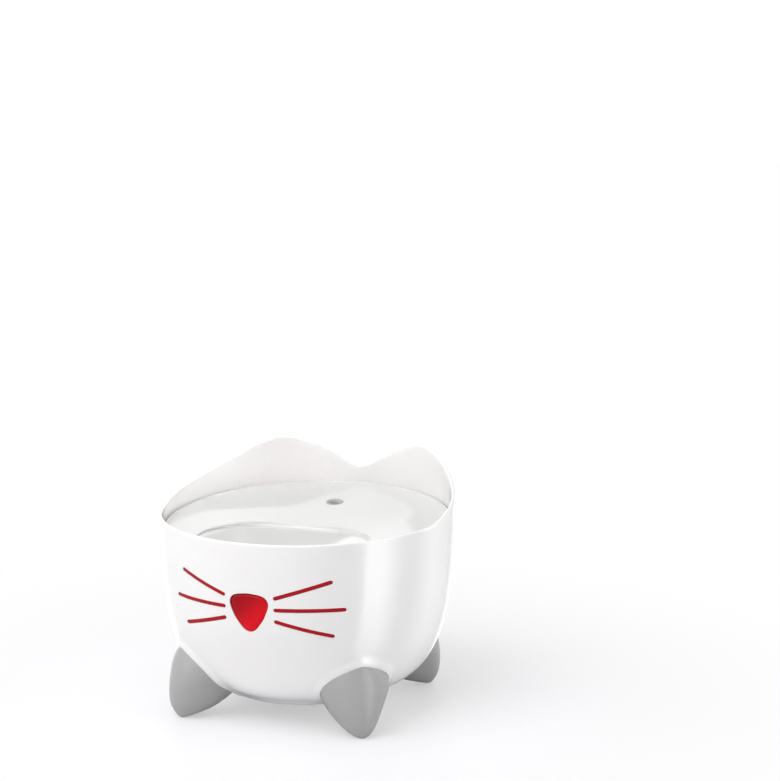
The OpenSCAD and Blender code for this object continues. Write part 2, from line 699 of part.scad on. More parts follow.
// ---- Pump ----
axis_z = floor_z + pump_axis_h;
chamber_y0 = pump_y0 + motor_l;
chamber_y1 = chamber_y0 + chamber_d;
housing_r = chamber_r + 4;
nipple_r = 4.5;
nipple_bore = 3.2;
nipple_z = axis_z + housing_r + 3;
nipple_h = 8;
rotor_r = 7.6;
rotor_gap = 0.8;
rotor_l = 24;
cover_t = 2.5;
rail_y = chamber_y1 + cover_t + 2.3;
bush_r = 3;
bush_l = 3;
cavity_l = rotor_l + 3;
module at_axis(y0, y1) translate([0, 0, axis_z]) along_y(y0, y1) children();

module pump_body()
    color("#3a3f45")
        difference() {
            union() {
                at_axis(pump_y0, chamber_y0) round_rect(motor_w, motor_h, 6);
                at_axis(pump_y0 - 4, pump_y0 + 1) translate([0, motor_z0 + 5 - axis_z]) circle(3);
                for (x = [-1, 1], z = [-1 : 1])
                    at_axis(pump_y0 + 5, chamber_y0 - 5)
                        translate([x * motor_w / 2, z * 7]) square([1.6, 2.4], center = true);
            }
            at_axis(chamber_y0 - cavity_l, chamber_y0 + 1) circle(rotor_r + rotor_gap);
            at_axis(chamber_y0 - cavity_l - bush_l, chamber_y0) circle(bush_r + 0.05);
        }
module impeller_housing()
    color("#4a5058")
        difference() {
            union() {
                at_axis(chamber_y0 + 0.05, chamber_y1) circle(housing_r);
                translate([0, spout_y, axis_z + chamber_r]) cylinder(h = nipple_z - axis_z - chamber_r, r = riser_r);
                translate([0, spout_y, nipple_z - 1]) cylinder(h = nipple_h + 1, r = nipple_r);
            }
            at_axis(chamber_y0 - 1, chamber_y1 + 1) circle(chamber_r);
            translate([0, spout_y, axis_z]) cylinder(h = 60, r = nipple_bore);
        }
module riser_tube()
    color("whitesmoke")
        difference() {
            translate([0, spout_y, nipple_z + 0.1])
                cylinder(h = plate_z(spout_y) - dish_t - 1.2 - nipple_z, r = riser_r);
            translate([0, spout_y, nipple_z]) cylinder(h = nipple_h + 0.5, r = nipple_r + 0.05);
            translate([0, spout_y, nipple_z]) cylinder(h = far, r = nipple_bore + 0.6);
        }
module intake_cover()
    color("#3a3f45")
        difference() {
            union() {
                at_axis(chamber_y1 + 0.05, chamber_y1 + cover_t) circle(housing_r);
                for (s = [-1, 1]) {
                    at_axis(chamber_y1 + cover_t - 0.5, rail_y) translate([2.5, s * 7.3])
                        square([24, 1.8], center = true);
                    at_axis(rail_y - 0.7, rail_y) translate([2.5, s * 6.8]) square([24, 2.8], center = true);
                }
            }
            at_axis(chamber_y1 - 1, chamber_y1 + cover_t - 1) circle(bush_r + 0.05);
            at_axis(chamber_y1 - 1, chamber_y1 + cover_t + 1)
                for (x = [-1, 1], k = [0 : 2])
                    stroke([x * 4.6, 4.6 * (k - 1)], [x * 9.6, 4.6 * (k - 1)], 2.4);
        }
module flow_regulator()
    color("orange")
        difference() {
            union() {
                at_axis(chamber_y1 + cover_t + 0.15, chamber_y1 + cover_t + 1.4) round_rect(18, 12, 1.5);
                at_axis(chamber_y1 + cover_t + 0.15, chamber_y1 + cover_t + 3)
                    translate([0, 3]) round_rect(8, 2.4, 1);
            }
            at_axis(chamber_y1, chamber_y1 + 10) translate([0, -1.5]) round_rect(6, 5, 1);
        }
disc_t = 1.6;
blade_t = 1.3;
blade_h = 8;
impeller_y = chamber_y0 + 1.5;
module impeller()
    color("ivory")
        difference() {
            union() {
                at_axis(chamber_y0 - rotor_l - 1, chamber_y0 - 1) circle(rotor_r);
                at_axis(chamber_y0 - 1 - eps, impeller_y + disc_t + blade_h) circle(3);
                at_axis(impeller_y, impeller_y + disc_t) circle(impeller_r);
                for (k = [0 : blades - 1])
                    at_axis(impeller_y + disc_t - eps, impeller_y + disc_t + blade_h)
                        rotate(360 * k / blades) translate([2.5, -blade_t / 2])
                            square([impeller_r - 2.5, blade_t]);
            }
            at_axis(0, 100) circle(shaft_r + shaft_gap);
        }
shaft_y0 = chamber_y0 - cavity_l - bush_l + 0.5;
shaft_y1 = chamber_y1 + cover_t - 1.3;
module impeller_shaft()
    color("white") at_axis(shaft_y0, shaft_y1) circle(shaft_r);
module shaft_bushes()
    color("black")
        for (span = [[chamber_y0 - cavity_l - bush_l + 0.1, chamber_y0 - cavity_l],
                [chamber_y1 - 0.8, chamber_y1 + cover_t - 1.1]])
            at_axis(span[0], span[1])
                difference() {
                    circle(bush_r);
                    circle(shaft_r + 0.02);
                }
cup_r = 7;
cup_x = 12;
cup_in = 9;
module suction_cups()
    color("dimgray")
        for (x = [-1, 1], y = [pump_y0 + cup_in, chamber_y0 - cup_in])
            translate([x * cup_x, y, floor_z])
                rotate_extrude()
                    polygon([[0, 2], [4, 1.4], [cup_r - 0.6, 0.05], [cup_r, 0.05], [cup_r - 0.4, 1],
                        [3.4, 3], [3.4, motor_z0 - floor_z - 0.05], [0, motor_z0 - floor_z - 0.05]]);

outer_shell();
foot(-foot_angle);  // foot_front_left
foot(foot_angle);  // foot_front_right
foot(180 + foot_angle);  // foot_rear_left
foot(180 - foot_angle);  // foot_rear_right
foot_screws();
nose_lens();
nose_gasket();
whisker(-1, 0);  // whisker_left_upper
whisker(-1, 1);  // whisker_left_middle
whisker(-1, 2);  // whisker_left_lower
whisker(1, 0);  // whisker_right_upper
whisker(1, 1);  // whisker_right_middle
whisker(1, 2);  // whisker_right_lower
indicator_housing();
indicator_board();
indicator_led();
indicator_screws();
level_probes();
indicator_lead();
cord_gland();
drinking_dish();
spout_ring();
filter_tray();
filter_foam();
filter_carbon();
filter_cap();
riser_tube();
pump_body();
impeller_housing();
intake_cover();
flow_regulator();
impeller();
impeller_shaft();
shaft_bushes();
suction_cups();
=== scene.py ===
"""Looks of the cat-shaped pet water fountain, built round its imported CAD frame."""
import json
import math

import bmesh
import bpy
import numpy as np
from mathutils import Matrix, Vector

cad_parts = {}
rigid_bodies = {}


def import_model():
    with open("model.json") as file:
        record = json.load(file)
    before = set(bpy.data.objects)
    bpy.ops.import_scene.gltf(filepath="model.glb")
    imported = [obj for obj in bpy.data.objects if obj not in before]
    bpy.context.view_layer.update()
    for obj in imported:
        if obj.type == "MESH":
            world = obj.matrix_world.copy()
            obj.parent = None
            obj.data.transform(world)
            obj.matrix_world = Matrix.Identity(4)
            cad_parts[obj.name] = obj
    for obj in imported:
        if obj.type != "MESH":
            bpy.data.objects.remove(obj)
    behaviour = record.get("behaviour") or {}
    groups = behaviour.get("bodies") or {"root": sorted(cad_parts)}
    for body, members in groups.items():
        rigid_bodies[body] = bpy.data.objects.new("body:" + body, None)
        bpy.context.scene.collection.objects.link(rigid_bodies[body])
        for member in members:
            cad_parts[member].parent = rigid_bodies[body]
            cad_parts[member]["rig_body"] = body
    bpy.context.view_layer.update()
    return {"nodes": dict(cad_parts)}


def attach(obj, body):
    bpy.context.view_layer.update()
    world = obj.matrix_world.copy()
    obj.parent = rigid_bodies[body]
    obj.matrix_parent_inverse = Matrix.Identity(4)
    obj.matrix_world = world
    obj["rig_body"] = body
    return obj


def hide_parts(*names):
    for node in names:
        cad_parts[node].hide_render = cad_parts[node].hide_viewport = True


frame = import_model()
MM = 0.001

# ---- Tank, in millimetres; main sizes are the CAD's, edges and foot collars differ slightly ----
BOWL_R = 100.0
BASE_Z = 12.0
BASE_FLAT_R = 51.0
BASE_EDGE_R = 56.0
BASE_BEVEL = 1.4
BELLY = np.array([(BASE_EDGE_R, BASE_Z + BASE_BEVEL), (73.8, 27.1), (BOWL_R, 20.0), (BOWL_R, 140.0)])
WALL = 2.4
CROWN_FROM = 112.0
RIM_Z = 133.8
RIM_SLOPE = 0.032
EAR_RISE = 32.5
EAR_ANGLE = 33.0
NOTCH_RISE = 11.8
RIM_END = 106.0
LEDGE_Z = 109.0
LEDGE_W = 4.0
# Steps of the tank's mesh: round it, up the crown and over the rim
SHELL_COLS = 320
CROWN_STEPS = 16
RIM_STEPS = 8

# ---- Dish, in millimetres ----
DISH_R = 96.7
DISH_Z = 126.2
DISH_SLOPE = 0.085
LIP_W = 2.2
LIP_H = 0.9
DISH_DIP = 3.3
DISH_T = 2.4
PLATE_R = DISH_R - LIP_W
POOL_Z = 119.8
LAND_Z = 121.3
LAND_BLEND = 1.2
LAND_LIP = 1.2
LIP_ROUND = 0.55
LIP_FILLET = 0.15
POOL_R = 39.0
POOL_HALF = 20.0
POOL_Y = -42.0
POOL_STEP_IN = -0.9
POOL_STEP_OUT = 0.5
DRAIN_Y = POOL_Y - 28.0
DRAIN_PITCH = 15
DRAIN_HALF = 4
DRAIN_R = 1.6
POST_X = 62.0
POST_R = 2.5
POST_END = 107.0
SPOUT_Y = 50.0
SPOUT_HOLE_R = 5.45
SPOUT_SOCKET_R = 6.3
SPOUT_SOCKET_WALL = 2.0
SPOUT_SOCKET_END = 111.0
GLAND_Z = 117.0
GLAND_R = 4.2
GLAND_NOTCH = 8.0

# ---- Face, in millimetres ----
NOSE_Z = 87.0
NOSE_R = 12.6
NOSE_CORNERS = 1.65
NOSE_POINTS = 0.3
WHISKER_W = 2.5
WHISKER_D = 1.2
GROOVE_GAP = 0.08
INLAY_GAP = 0.05
INLAY_SEAT = 0.1
INLAY_SUNK = 0.22
INLAY_ROUND = 0.35
STRIP_TIP = 0.02
# Name, root and tip (distance from the middle, height) of the whiskers on one side
WHISKERS = (("upper", (17.8, 95.9), (51.0, 106.5)),
            ("middle", (17.8, 88.1), (57.7, 88.0)),
            ("lower", (17.8, 80.3), (50.5, 70.6)))

# ---- Feet, in millimetres and degrees from the front ----
FOOT_ANGLES = {"foot_front_left": -45.0, "foot_front_right": 45.0,
               "foot_rear_right": 135.0, "foot_rear_left": -135.0}
# Height, inner reach, outer reach and half width of a foot
FOOT_SLICES = np.array([
    (0.0, 88.8, 92.8, 2.2), (0.6, 86.4, 93.6, 3.9), (1.6, 83.0, 94.6, 5.8), (3.2, 77.0, 95.8, 8.0),
    (5.2, 70.5, 97.0, 10.1), (9.0, 63.0, 98.6, 13.0), (13.0, 57.0, 99.2, 15.6), (18.4, 54.0, 99.2, 18.7),
    (24.0, 54.0, 98.5, 21.6), (30.0, 55.0, 97.3, 23.8), (36.0, 57.0, 95.8, 23.6), (41.0, 59.0, 94.1, 21.0),
    (45.0, 61.0, 92.4, 16.4), (47.4, 63.0, 91.2, 10.6), (48.8, 65.0, 90.0, 5.0)])
FOOT_TOP = FOOT_SLICES[-1, 0]
# Heights at which the seam between a foot and the wall is looked for
SEAM_HEIGHTS = np.linspace(11.0, 48.7, 90)
FOOT_SOCKET_GAP = 0.12
FOOT_SEAT = 0.15
COLLAR_H = 1.9
COLLAR_W = 6.0
COLLAR_TOP = 60.0

# ---- View: the photograph's camera, in millimetres and pixels ----
CAMERA_AT = (492.37, -1181.68, 406.82)
CAMERA_DIR = (-0.33998, 0.92856, -0.14899)
FOCAL_PX = 1927.0
FRAME_PX = 780.0
SENSOR = 36.0

# ---- Surfaces: scale, detail and roughness of the noises that drift tone and gloss; grain in metres ----
TONE_NOISE = (14.0, 3.0)
GLOSS_NOISE = (60.0, 5.0, 0.6)
GRAIN_DEPTH = 0.0002

# ---- Shading of the dish, which leans more than its mesh: in millimetres, bend and curl per metre ----
FALL = 0.085
BEND_FROM = 20.0
BEND = 10.0
BEHIND_FROM = 0.3
CURL_FROM = 30.0
CURL = 1.8
SIDE_FROM = 20.0
SIDE_TO = 80.0
SIDE_LESS = 0.9
LAND_RISE = 0.9

# ---- Stage, in metres; levels are shares of white ----
FLOOR_REACH = (0.2, 0.4, 0.8, 1.6, 3.2, 6.0, 12.0)
# Painted light on the floor: the camera sees a share of plain white over it, WHITE_NEAR near the object,
# which lightens its shadow
WHITE_FROM = 0.12
WHITE_TO = 0.45
WHITE_NEAR = 0.45
MIRROR_FROM = 0.085
MIRROR_TO = 0.17
WORLD_LEVEL = 0.36
LOW_DARK = -0.95
LOW_FULL = -0.35
HIGH_FROM = 0.55
HIGH_TO = 0.85
HIGH_LEVEL = 1.3
SECOND_LEVEL = 0.9
# Bright and dark sectors of the world that gloss mirrors: share of the turn about the axis, level
STUDIO = ((0.0, 1.0), (0.28, 1.0), (0.34, 0.5), (0.42, 0.4), (0.434, 1.5), (0.444, 4.2), (0.480, 4.0),
          (0.505, 2.4), (0.53, 0.9), (0.565, 0.9), (0.595, 1.6), (0.625, 1.95), (0.67, 1.35), (0.73, 0.85),
          (0.775, 1.5), (0.87, 1.5), (0.92, 1.0), (1.0, 1.0))
# Point that most lights look at
AIM = (0, 0, 0.09)
# Name, place, target, size, power in watts and spread in degrees
LIGHTS = (("front_box", (-0.45, -1.3, 1.9), AIM, (1.6, 1.6), 26.0, 180.0),
          ("over_box", (0.0, -0.12, 0.75), (0, 0.03, 0.13), (0.5, 0.35), 0.9, 180.0),
          ("left_box", (-1.5, -0.2, 0.9), AIM, (1.2, 1.2), 3.5, 180.0),
          ("low_left_box", (-1.3, -1.0, 0.6), AIM, (0.8, 1.0), 4.0, 180.0),
          ("low_right_box", (0.8, -1.4, 0.5), AIM, (0.6, 0.8), 1.5, 180.0),
          ("right_strip", (1.24, -0.17, 0.36), AIM, (0.25, 0.6), 1.7, 180.0),
          ("rear_strip", (1.0, 0.66, 0.36), AIM, (0.2, 0.6), 1.6, 180.0),
          ("ear_beam", (0.5, -0.45, 0.49), (-0.01, 0.08, 0.158), (0.2, 0.03), 0.0048, 3.0),
          ("side_beam", (0.6, -0.2, 0.4), (-0.085, 0.0, 0.145), (0.06, 0.03), 0.0055, 8.0))


# ==== Small helpers ====
def smooth(x):
    """Smooth step from 0 to 1."""
    x = np.clip(x, 0.0, 1.0)
    return x * x * (3 - 2 * x)


def smooth_max(a, b, k):
    """The larger of two heights, with a rounded change between them."""
    h = np.clip(0.5 + 0.5 * (a - b) / k, 0.0, 1.0)
    return b + (a - b) * h + k * h * (1 - h)


def hermite(t, span, start, start_slope, end, end_slope):
    """Smooth curve at a share t of a span, between two values with their slopes."""
    return ((1 - 3 * t ** 2 + 2 * t ** 3) * start + (t - 2 * t ** 2 + t ** 3) * span * start_slope
            + (3 * t ** 2 - 2 * t ** 3) * end + (t ** 3 - t ** 2) * span * end_slope)


def new_mesh(name, points, faces, sharp=35.0):
    """A mesh object from points in millimetres, smooth except at edges sharper than an angle."""
    mesh = bpy.data.meshes.new(name)
    mesh.from_pydata([tuple(float(c) * MM for c in p) for p in points], [], faces)
    mesh.validate()
    obj = bpy.data.objects.new(name, mesh)
    bpy.context.scene.collection.objects.link(obj)
    finish_shading(obj, sharp)
    return obj


def finish_shading(obj, sharp=35.0):
    """Outward normals and smooth shading, split at sharp edges."""
    bm = bmesh.new()
    bm.from_mesh(obj.data)
    bmesh.ops.remove_doubles(bm, verts=bm.verts, dist=1e-7)
    bmesh.ops.recalc_face_normals(bm, faces=bm.faces)
    bm.to_mesh(obj.data)
    bm.free()
    obj.data.shade_smooth()
    obj.data.set_sharp_from_angle(angle=math.radians(sharp))


def grid_faces(rows, cols):
    """Quads between rings of points."""
    faces = []
    for i in range(rows - 1):
        for j in range(cols):
            a = i * cols + j
            b = i * cols + (j + 1) % cols
            faces.append((a, b, b + cols, a + cols))
    return faces


def ring_solid(name, rings, sharp=35.0):
    """A closed solid from a stack of rings; both ends are closed by a fan to their middle."""
    rings = np.asarray(rings, float)
    rows, cols = rings.shape[:2]
    points = rings.reshape(-1, 3).tolist()
    faces = grid_faces(rows, cols)
    for row, ends in ((0, True), (rows - 1, False)):
        centre = len(points)
        points.append(rings[row].mean(axis=0).tolist())
        for j in range(cols):
            a = row * cols + j
            b = row * cols + (j + 1) % cols
            faces.append((centre, b, a) if ends else (centre, a, b))
    return new_mesh(name, points, faces, sharp)


def prism(name, outline, low, high):
    """An upright solid from an outline in x and y."""
    return ring_solid(name, [[(x, y, z) for x, y in outline] for z in (low, high)])


def full_turn(steps):
    """Evenly spaced angles round a full turn."""
    return np.linspace(0, 2 * math.pi, steps, endpoint=False)


def lathe(name, profile, centre=(0.0, 0.0), steps=96):
    """A solid of revolution about a vertical axis, from (radius, height) points."""
    rings = [[(centre[0] + r * math.cos(a), centre[1] + r * math.sin(a), z) for a in full_turn(steps)]
             for r, z in profile]
    return ring_solid(name, rings)


def hollow(name, outline, place, steps, sharp):
    """A ring turned about an axis from a closed outline of (radius, height) points."""
    points = [place @ Vector((r * math.cos(a), r * math.sin(a), h)) for r, h in outline
              for a in full_turn(steps)]
    faces = grid_faces(len(outline), steps)
    last = (len(outline) - 1) * steps
    for j in range(steps):
        faces.append((last + j, last + (j + 1) % steps, (j + 1) % steps, j))
    return new_mesh(name, points, faces, sharp)


def apply_modifiers(obj):
    """Turns an object's modifiers into its mesh."""
    graph = bpy.context.evaluated_depsgraph_get()
    graph.update()
    mesh = bpy.data.meshes.new_from_object(obj.evaluated_get(graph))
    old = obj.data
    obj.modifiers.clear()
    obj.data = mesh
    bpy.data.meshes.remove(old)


def join(objs, name):
    """One mesh object from several."""
    bm = bmesh.new()
    for obj in objs:
        bm.from_mesh(obj.data)
        bpy.data.objects.remove(obj)
    mesh = bpy.data.meshes.new(name)
    bm.to_mesh(mesh)
    bm.free()
    joined = bpy.data.objects.new(name, mesh)
    bpy.context.scene.collection.objects.link(joined)
    return joined


def cut(obj, cutter, sharp=35.0):
    """Cuts one solid with another, and removes the cutter."""
    mod = obj.modifiers.new("cut", "BOOLEAN")
    mod.operation = "DIFFERENCE"
    mod.solver = "EXACT"
    mod.object = cutter
    apply_modifiers(obj)
    bpy.data.objects.remove(cutter)
    finish_shading(obj, sharp)


def soften(obj, width):
    """Rounds an object's edges by a small bevel."""
    mod = obj.modifiers.new("soften", "BEVEL")
    mod.width = width * MM
    mod.segments = 2
    mod.limit_method = "ANGLE"
    mod.angle_limit = math.radians(30.0)
    apply_modifiers(obj)
    finish_shading(obj, 45.0)


def dressed(obj, body, material, slot, *nodes):
    """Gives a piece its body and material, and says which CAD nodes it stands for; its slot is not used."""
    obj.data.materials.clear()
    obj.data.materials.append(material)
    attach(obj, body)
    if nodes:
        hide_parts(*nodes)


# ==== Materials ====
class Tree:
    """A short way to write a node tree."""

    def __init__(self, tree, output):
        """Keeps the tree and the input that takes its finished shader."""
        self.tree = tree
        self.surface = tree.nodes[output].inputs["Surface"]

    def node(self, kind, **values):
        """A node with its properties set."""
        made = self.tree.nodes.new(kind)
        for key, value in values.items():
            setattr(made, key, value)
        return made

    def link(self, a, b):
        """Joins an output to an input."""
        self.tree.links.new(a, b)

    def feed(self, socket, value):
        """Gives an input a number, or an output to follow."""
        if isinstance(value, float):
            socket.default_value = value
        else:
            self.link(value, socket)

    def math(self, operation, *values):
        """The result of a sum on outputs or numbers."""
        made = self.node("ShaderNodeMath", operation=operation)
        for socket, value in zip(made.inputs, values):
            self.feed(socket, value)
        return made.outputs[0]

    def product(self, *values):
        """Outputs or numbers multiplied with one another."""
        result = values[0]
        for value in values[1:]:
            result = self.math("MULTIPLY", result, value)
        return result

    def mix(self, share, low, high):
        """A value between two outputs or numbers."""
        made = self.node("ShaderNodeMix")
        for place, value in ((0, share), (2, low), (3, high)):
            self.feed(made.inputs[place], value)
        return made.outputs[0]

    def mix_shader(self, share, low, high):
        """A blend of two shaders."""
        made = self.node("ShaderNodeMixShader")
        for socket, value in zip(made.inputs, (share, low, high)):
            self.link(value, socket)
        return made.outputs["Shader"]

    def map_range(self, value, low, high, to_low=0.0, to_high=1.0, kind="LINEAR"):
        """A value moved from one range to another."""
        made = self.node("ShaderNodeMapRange", interpolation_type=kind)
        made.inputs["From Min"].default_value = low
        made.inputs["From Max"].default_value = high
        made.inputs["To Min"].default_value = to_low
        made.inputs["To Max"].default_value = to_high
        self.link(value, made.inputs["Value"])
        return made.outputs["Result"]

    def smooth_step(self, value, low, high, to_low=0.0):
        """A value that goes smoothly to 1 between two limits."""
        return self.map_range(value, low, high, to_low, 1.0, "SMOOTHSTEP")

    def split(self, vector):
        """The three parts of a vector."""
        made = self.node("ShaderNodeSeparateXYZ")
        self.link(vector, made.inputs["Vector"])
        return [made.outputs[axis] for axis in "XYZ"]

    def ramp(self, value, stops):
        """A colour ramp over a value; the stops are in order."""
        made = self.node("ShaderNodeValToRGB")
        elements = made.color_ramp.elements
        for element, (place, colour) in ((elements[0], stops[0]), (elements[1], stops[-1])):
            element.position = place
            element.color = (*colour, 1)
        for place, colour in stops[1:-1]:
            elements.new(place).color = (*colour, 1)
        self.link(value, made.inputs["Fac"])
        return made.outputs["Color"]


class Nodes(Tree):
    """A short way to write a procedural material."""

    def __init__(self, name, base, rough, metal=0.0, coat=0.0):
        """A new material with the plain values of its shader set."""
        self.mat = bpy.data.materials.new(name)
        self.mat.use_nodes = True
        super().__init__(self.mat.node_tree, "Material Output")
        self.bsdf = self.tree.nodes["Principled BSDF"]
        self.coords = self.node("ShaderNodeTexCoord").outputs["Object"]
        self.bsdf.inputs["Base Color"].default_value = (*base, 1)
        self.bsdf.inputs["Roughness"].default_value = rough
        self.bsdf.inputs["Metallic"].default_value = metal
        self.bsdf.inputs["Coat Weight"].default_value = coat
        self.bsdf.inputs["Coat Roughness"].default_value = 0.05
        self.bsdf.inputs["IOR"].default_value = 1.5

    def noise(self, scale, detail=4.0, rough=0.5, stretch=(1, 1, 1)):
        """A noise value over the object's own coordinates."""
        mapping = self.node("ShaderNodeMapping")
        mapping.inputs["Scale"].default_value = stretch
        self.link(self.coords, mapping.inputs["Vector"])
        noise = self.node("ShaderNodeTexNoise")
        noise.inputs["Scale"].default_value = scale
        noise.inputs["Detail"].default_value = detail
        noise.inputs["Roughness"].default_value = rough
        self.link(mapping.outputs["Vector"], noise.inputs["Vector"])
        return noise.outputs["Fac"]

    def colour(self, value, low, high):
        """Base colour that drifts between two tones."""
        self.link(self.ramp(value, ((0.3, low), (0.7, high))), self.bsdf.inputs["Base Color"])

    def roughness(self, value, low, high):
        """Roughness that drifts between two values."""
        self.link(self.map_range(value, 0.3, 0.7, low, high), self.bsdf.inputs["Roughness"])

    def bump(self, value, strength, distance):
        """A fine relief."""
        bump = self.node("ShaderNodeBump")
        bump.inputs["Strength"].default_value = strength
        bump.inputs["Distance"].default_value = distance
        self.link(value, bump.inputs["Height"])
        self.link(bump.outputs["Normal"], self.bsdf.inputs["Normal"])


def tint(colour, factor):
    """A colour made lighter or darker."""
    return tuple(min(1.0, c * factor) for c in colour)


def plastic(name, base, rough, drift=0.03, grain=900.0, relief=0.02, coat=0.0, spread=0.06, shine=0.5):
    """Moulded plastic: slow drift of tone and gloss, and a fine moulded grain."""
    n = Nodes(name, base, rough, coat=coat)
    n.bsdf.inputs["Specular IOR Level"].default_value = shine
    n.colour(n.noise(*TONE_NOISE), tint(base, 1 - drift), tint(base, 1 + drift))
    n.roughness(n.noise(*GLOSS_NOISE), rough * (1 - spread), rough * (1 + spread))
    n.bump(n.noise(grain, 2.0), relief, GRAIN_DEPTH)
    return n.mat


def make_materials():
    """All materials by name."""
    mats = {}
    mats["shell"] = plastic("shell_gloss_white", (0.852, 0.838, 0.828), 0.38, 0.008, 420.0, 0.010, 1.0)
    mats["dish"] = dish_material()
    mats["foot"] = plastic("foot_satin_grey", (0.375, 0.369, 0.367), 0.32, 0.03, 1500.0, 0.10, shine=0.3)
    mats["whisker"] = plastic("whisker_red", (0.42, 0.003, 0.01), 0.5, 0.05, 900.0, 0.05, shine=0.15)
    mats["rubber"] = plastic("seal_rubber", (0.03, 0.03, 0.032), 0.6, 0.15, 1400.0, 0.15)
    # The spout ring is drawn mid grey rather than its pale white: painted shade that darkens the spout hole
    mats["ring"] = plastic("ring_white", (0.45, 0.45, 0.445), 0.5, 0.02, 900.0, 0.05, shine=0.2)
    mats["pod"] = plastic("pod_grey", (0.5, 0.51, 0.52), 0.38, 0.04, 1200.0, 0.12)
    mats["tray"] = plastic("tray_grey", (0.6, 0.62, 0.63), 0.3, 0.03, 1200.0, 0.08)
    mats["cap"] = plastic("cap_white", (0.78, 0.78, 0.77), 0.28, 0.02, 1200.0, 0.06)
    mats["pump"] = plastic("pump_dark", (0.022, 0.024, 0.027), 0.4, 0.2, 1500.0, 0.2)
    mats["regulator"] = plastic("regulator_grey", (0.26, 0.28, 0.3), 0.36, 0.05, 1400.0, 0.12)
    mats["rotor"] = plastic("rotor_ivory", (0.66, 0.62, 0.52), 0.34, 0.04, 1300.0, 0.08)
    mats["ceramic"] = plastic("shaft_ceramic", (0.8, 0.79, 0.75), 0.12, 0.02, 1600.0, 0.03, 0.4)
    mats["lead"] = plastic("lead_black", (0.015, 0.015, 0.016), 0.42, 0.2, 1300.0, 0.12)
    mats["board"] = plastic("board_green", (0.01, 0.12, 0.04), 0.35, 0.3, 700.0, 0.2)
    mats["led"] = plastic("led_red", (0.6, 0.02, 0.015), 0.08, 0.05, 600.0, 0.02, 0.5)
    mats["steel"] = steel_material()
    mats["nose"] = nose_material()
    mats["foam"] = foam_material()
    mats["carbon"] = carbon_material()
    return mats


def dish_material():
    """Glossy grey plastic; its shading rises to the back, less so on the right, and curls up there."""
    n = Nodes("dish_gloss_grey", (0.655, 0.655, 0.65), 0.05, coat=0.4)
    n.colour(n.noise(*TONE_NOISE), (0.651, 0.651, 0.646), (0.659, 0.659, 0.654))
    n.roughness(n.noise(*GLOSS_NOISE), 0.047, 0.053)
    x, y, z = n.split(n.coords)
    reach = n.math("SQRT", n.math("ADD", n.product(x, x), n.product(y, y)))
    past = n.math("MAXIMUM", n.math("SUBTRACT", reach, CURL_FROM * MM), 0.0)
    behind = n.smooth_step(n.math("DIVIDE", y, reach), BEHIND_FROM, 1.0)
    curl = n.product(past, past, behind, CURL)
    back = n.math("MAXIMUM", n.math("SUBTRACT", y, BEND_FROM * MM), 0.0)
    fall = n.math("SUBTRACT", y, n.product(back, back, BEND))
    right = n.product(n.smooth_step(x, SIDE_FROM * MM, SIDE_TO * MM), -SIDE_LESS)
    land = n.smooth_step(z, (LAND_Z - LAND_RISE) * MM, LAND_Z * MM)
    plate = n.product(fall, FALL, n.math("ADD", right, 1.0), land)
    lean = n.node("ShaderNodeBump")
    lean.inputs["Distance"].default_value = 1.0
    n.link(n.math("ADD", curl, plate), lean.inputs["Height"])
    n.link(lean.outputs["Normal"], n.bsdf.inputs["Normal"])
    n.link(lean.outputs["Normal"], n.bsdf.inputs["Coat Normal"])
    return n.mat


def steel_material():
    """Brushed stainless steel."""
    n = Nodes("screw_steel", (0.62, 0.62, 0.61), 0.28, metal=1.0)
    streaks = n.noise(900.0, 3.0, 0.6, (1, 1, 0.06))
    n.colour(streaks, (0.5, 0.5, 0.5), (0.7, 0.7, 0.69))
    n.roughness(streaks, 0.2, 0.38)
    n.bump(streaks, 0.08, 0.0001)
    return n.mat


def nose_material():
    """Red lens with a painted glow, dim at the top and brighter towards its lower right."""
    n = Nodes("nose_red_lens", (0.55, 0.008, 0.018), 0.2)
    n.bsdf.inputs["Specular IOR Level"].default_value = 0.1
    # Painted glow and shade: an emission ramp over the lens, dim at the top and bright at the lower right
    mapping = n.node("ShaderNodeMapping")
    mapping.inputs["Location"].default_value = (0.35, 0.0, 2.95)
    mapping.inputs["Scale"].default_value = (26.0, 0.0, -30.0)
    n.link(n.coords, mapping.inputs["Vector"])
    x, _, z = n.split(mapping.outputs["Vector"])
    painted_glow = n.ramp(n.math("ADD", x, z), ((0.1, (0.22, 0.002, 0.005)), (0.55, (0.34, 0.003, 0.008)),
                                        (0.95, (0.58, 0.006, 0.014))))
    n.link(painted_glow, n.bsdf.inputs["Base Color"])
    n.link(painted_glow, n.bsdf.inputs["Emission Color"])
    n.bsdf.inputs["Emission Strength"].default_value = 0.22
    n.bump(n.noise(500.0, 2.0), 0.01, GRAIN_DEPTH)
    return n.mat


def foam_material():
    """Open-cell filter foam."""
    n = Nodes("foam_blue", (0.1, 0.2, 0.34), 0.9)
    cells = n.node("ShaderNodeTexVoronoi")
    cells.inputs["Scale"].default_value = 900.0
    n.link(n.coords, cells.inputs["Vector"])
    n.colour(cells.outputs["Distance"], (0.05, 0.11, 0.2), (0.15, 0.28, 0.45))
    n.bump(cells.outputs["Distance"], 0.8, 0.0006)
    return n.mat


def carbon_material():
    """Carbon granules behind a grey fleece."""
    n = Nodes("carbon_fleece", (0.05, 0.05, 0.05), 0.85)
    grains = n.node("ShaderNodeTexVoronoi")
    grains.inputs["Scale"].default_value = 600.0
    n.link(n.coords, grains.inputs["Vector"])
    n.colour(grains.outputs["Distance"], (0.012, 0.012, 0.012), (0.12, 0.12, 0.12))
    n.bump(grains.outputs["Distance"], 0.6, 0.0005)
    return n.mat


# ==== Tank ====
def belly(t):
    """Points of the belly curve from the underside to the rim."""
    t = np.atleast_1d(t)[:, None]
    a, b, c, d = BELLY
    return (1 - t) ** 3 * a + 3 * (1 - t) ** 2 * t * b + 3 * (1 - t) * t * t * c + t ** 3 * d


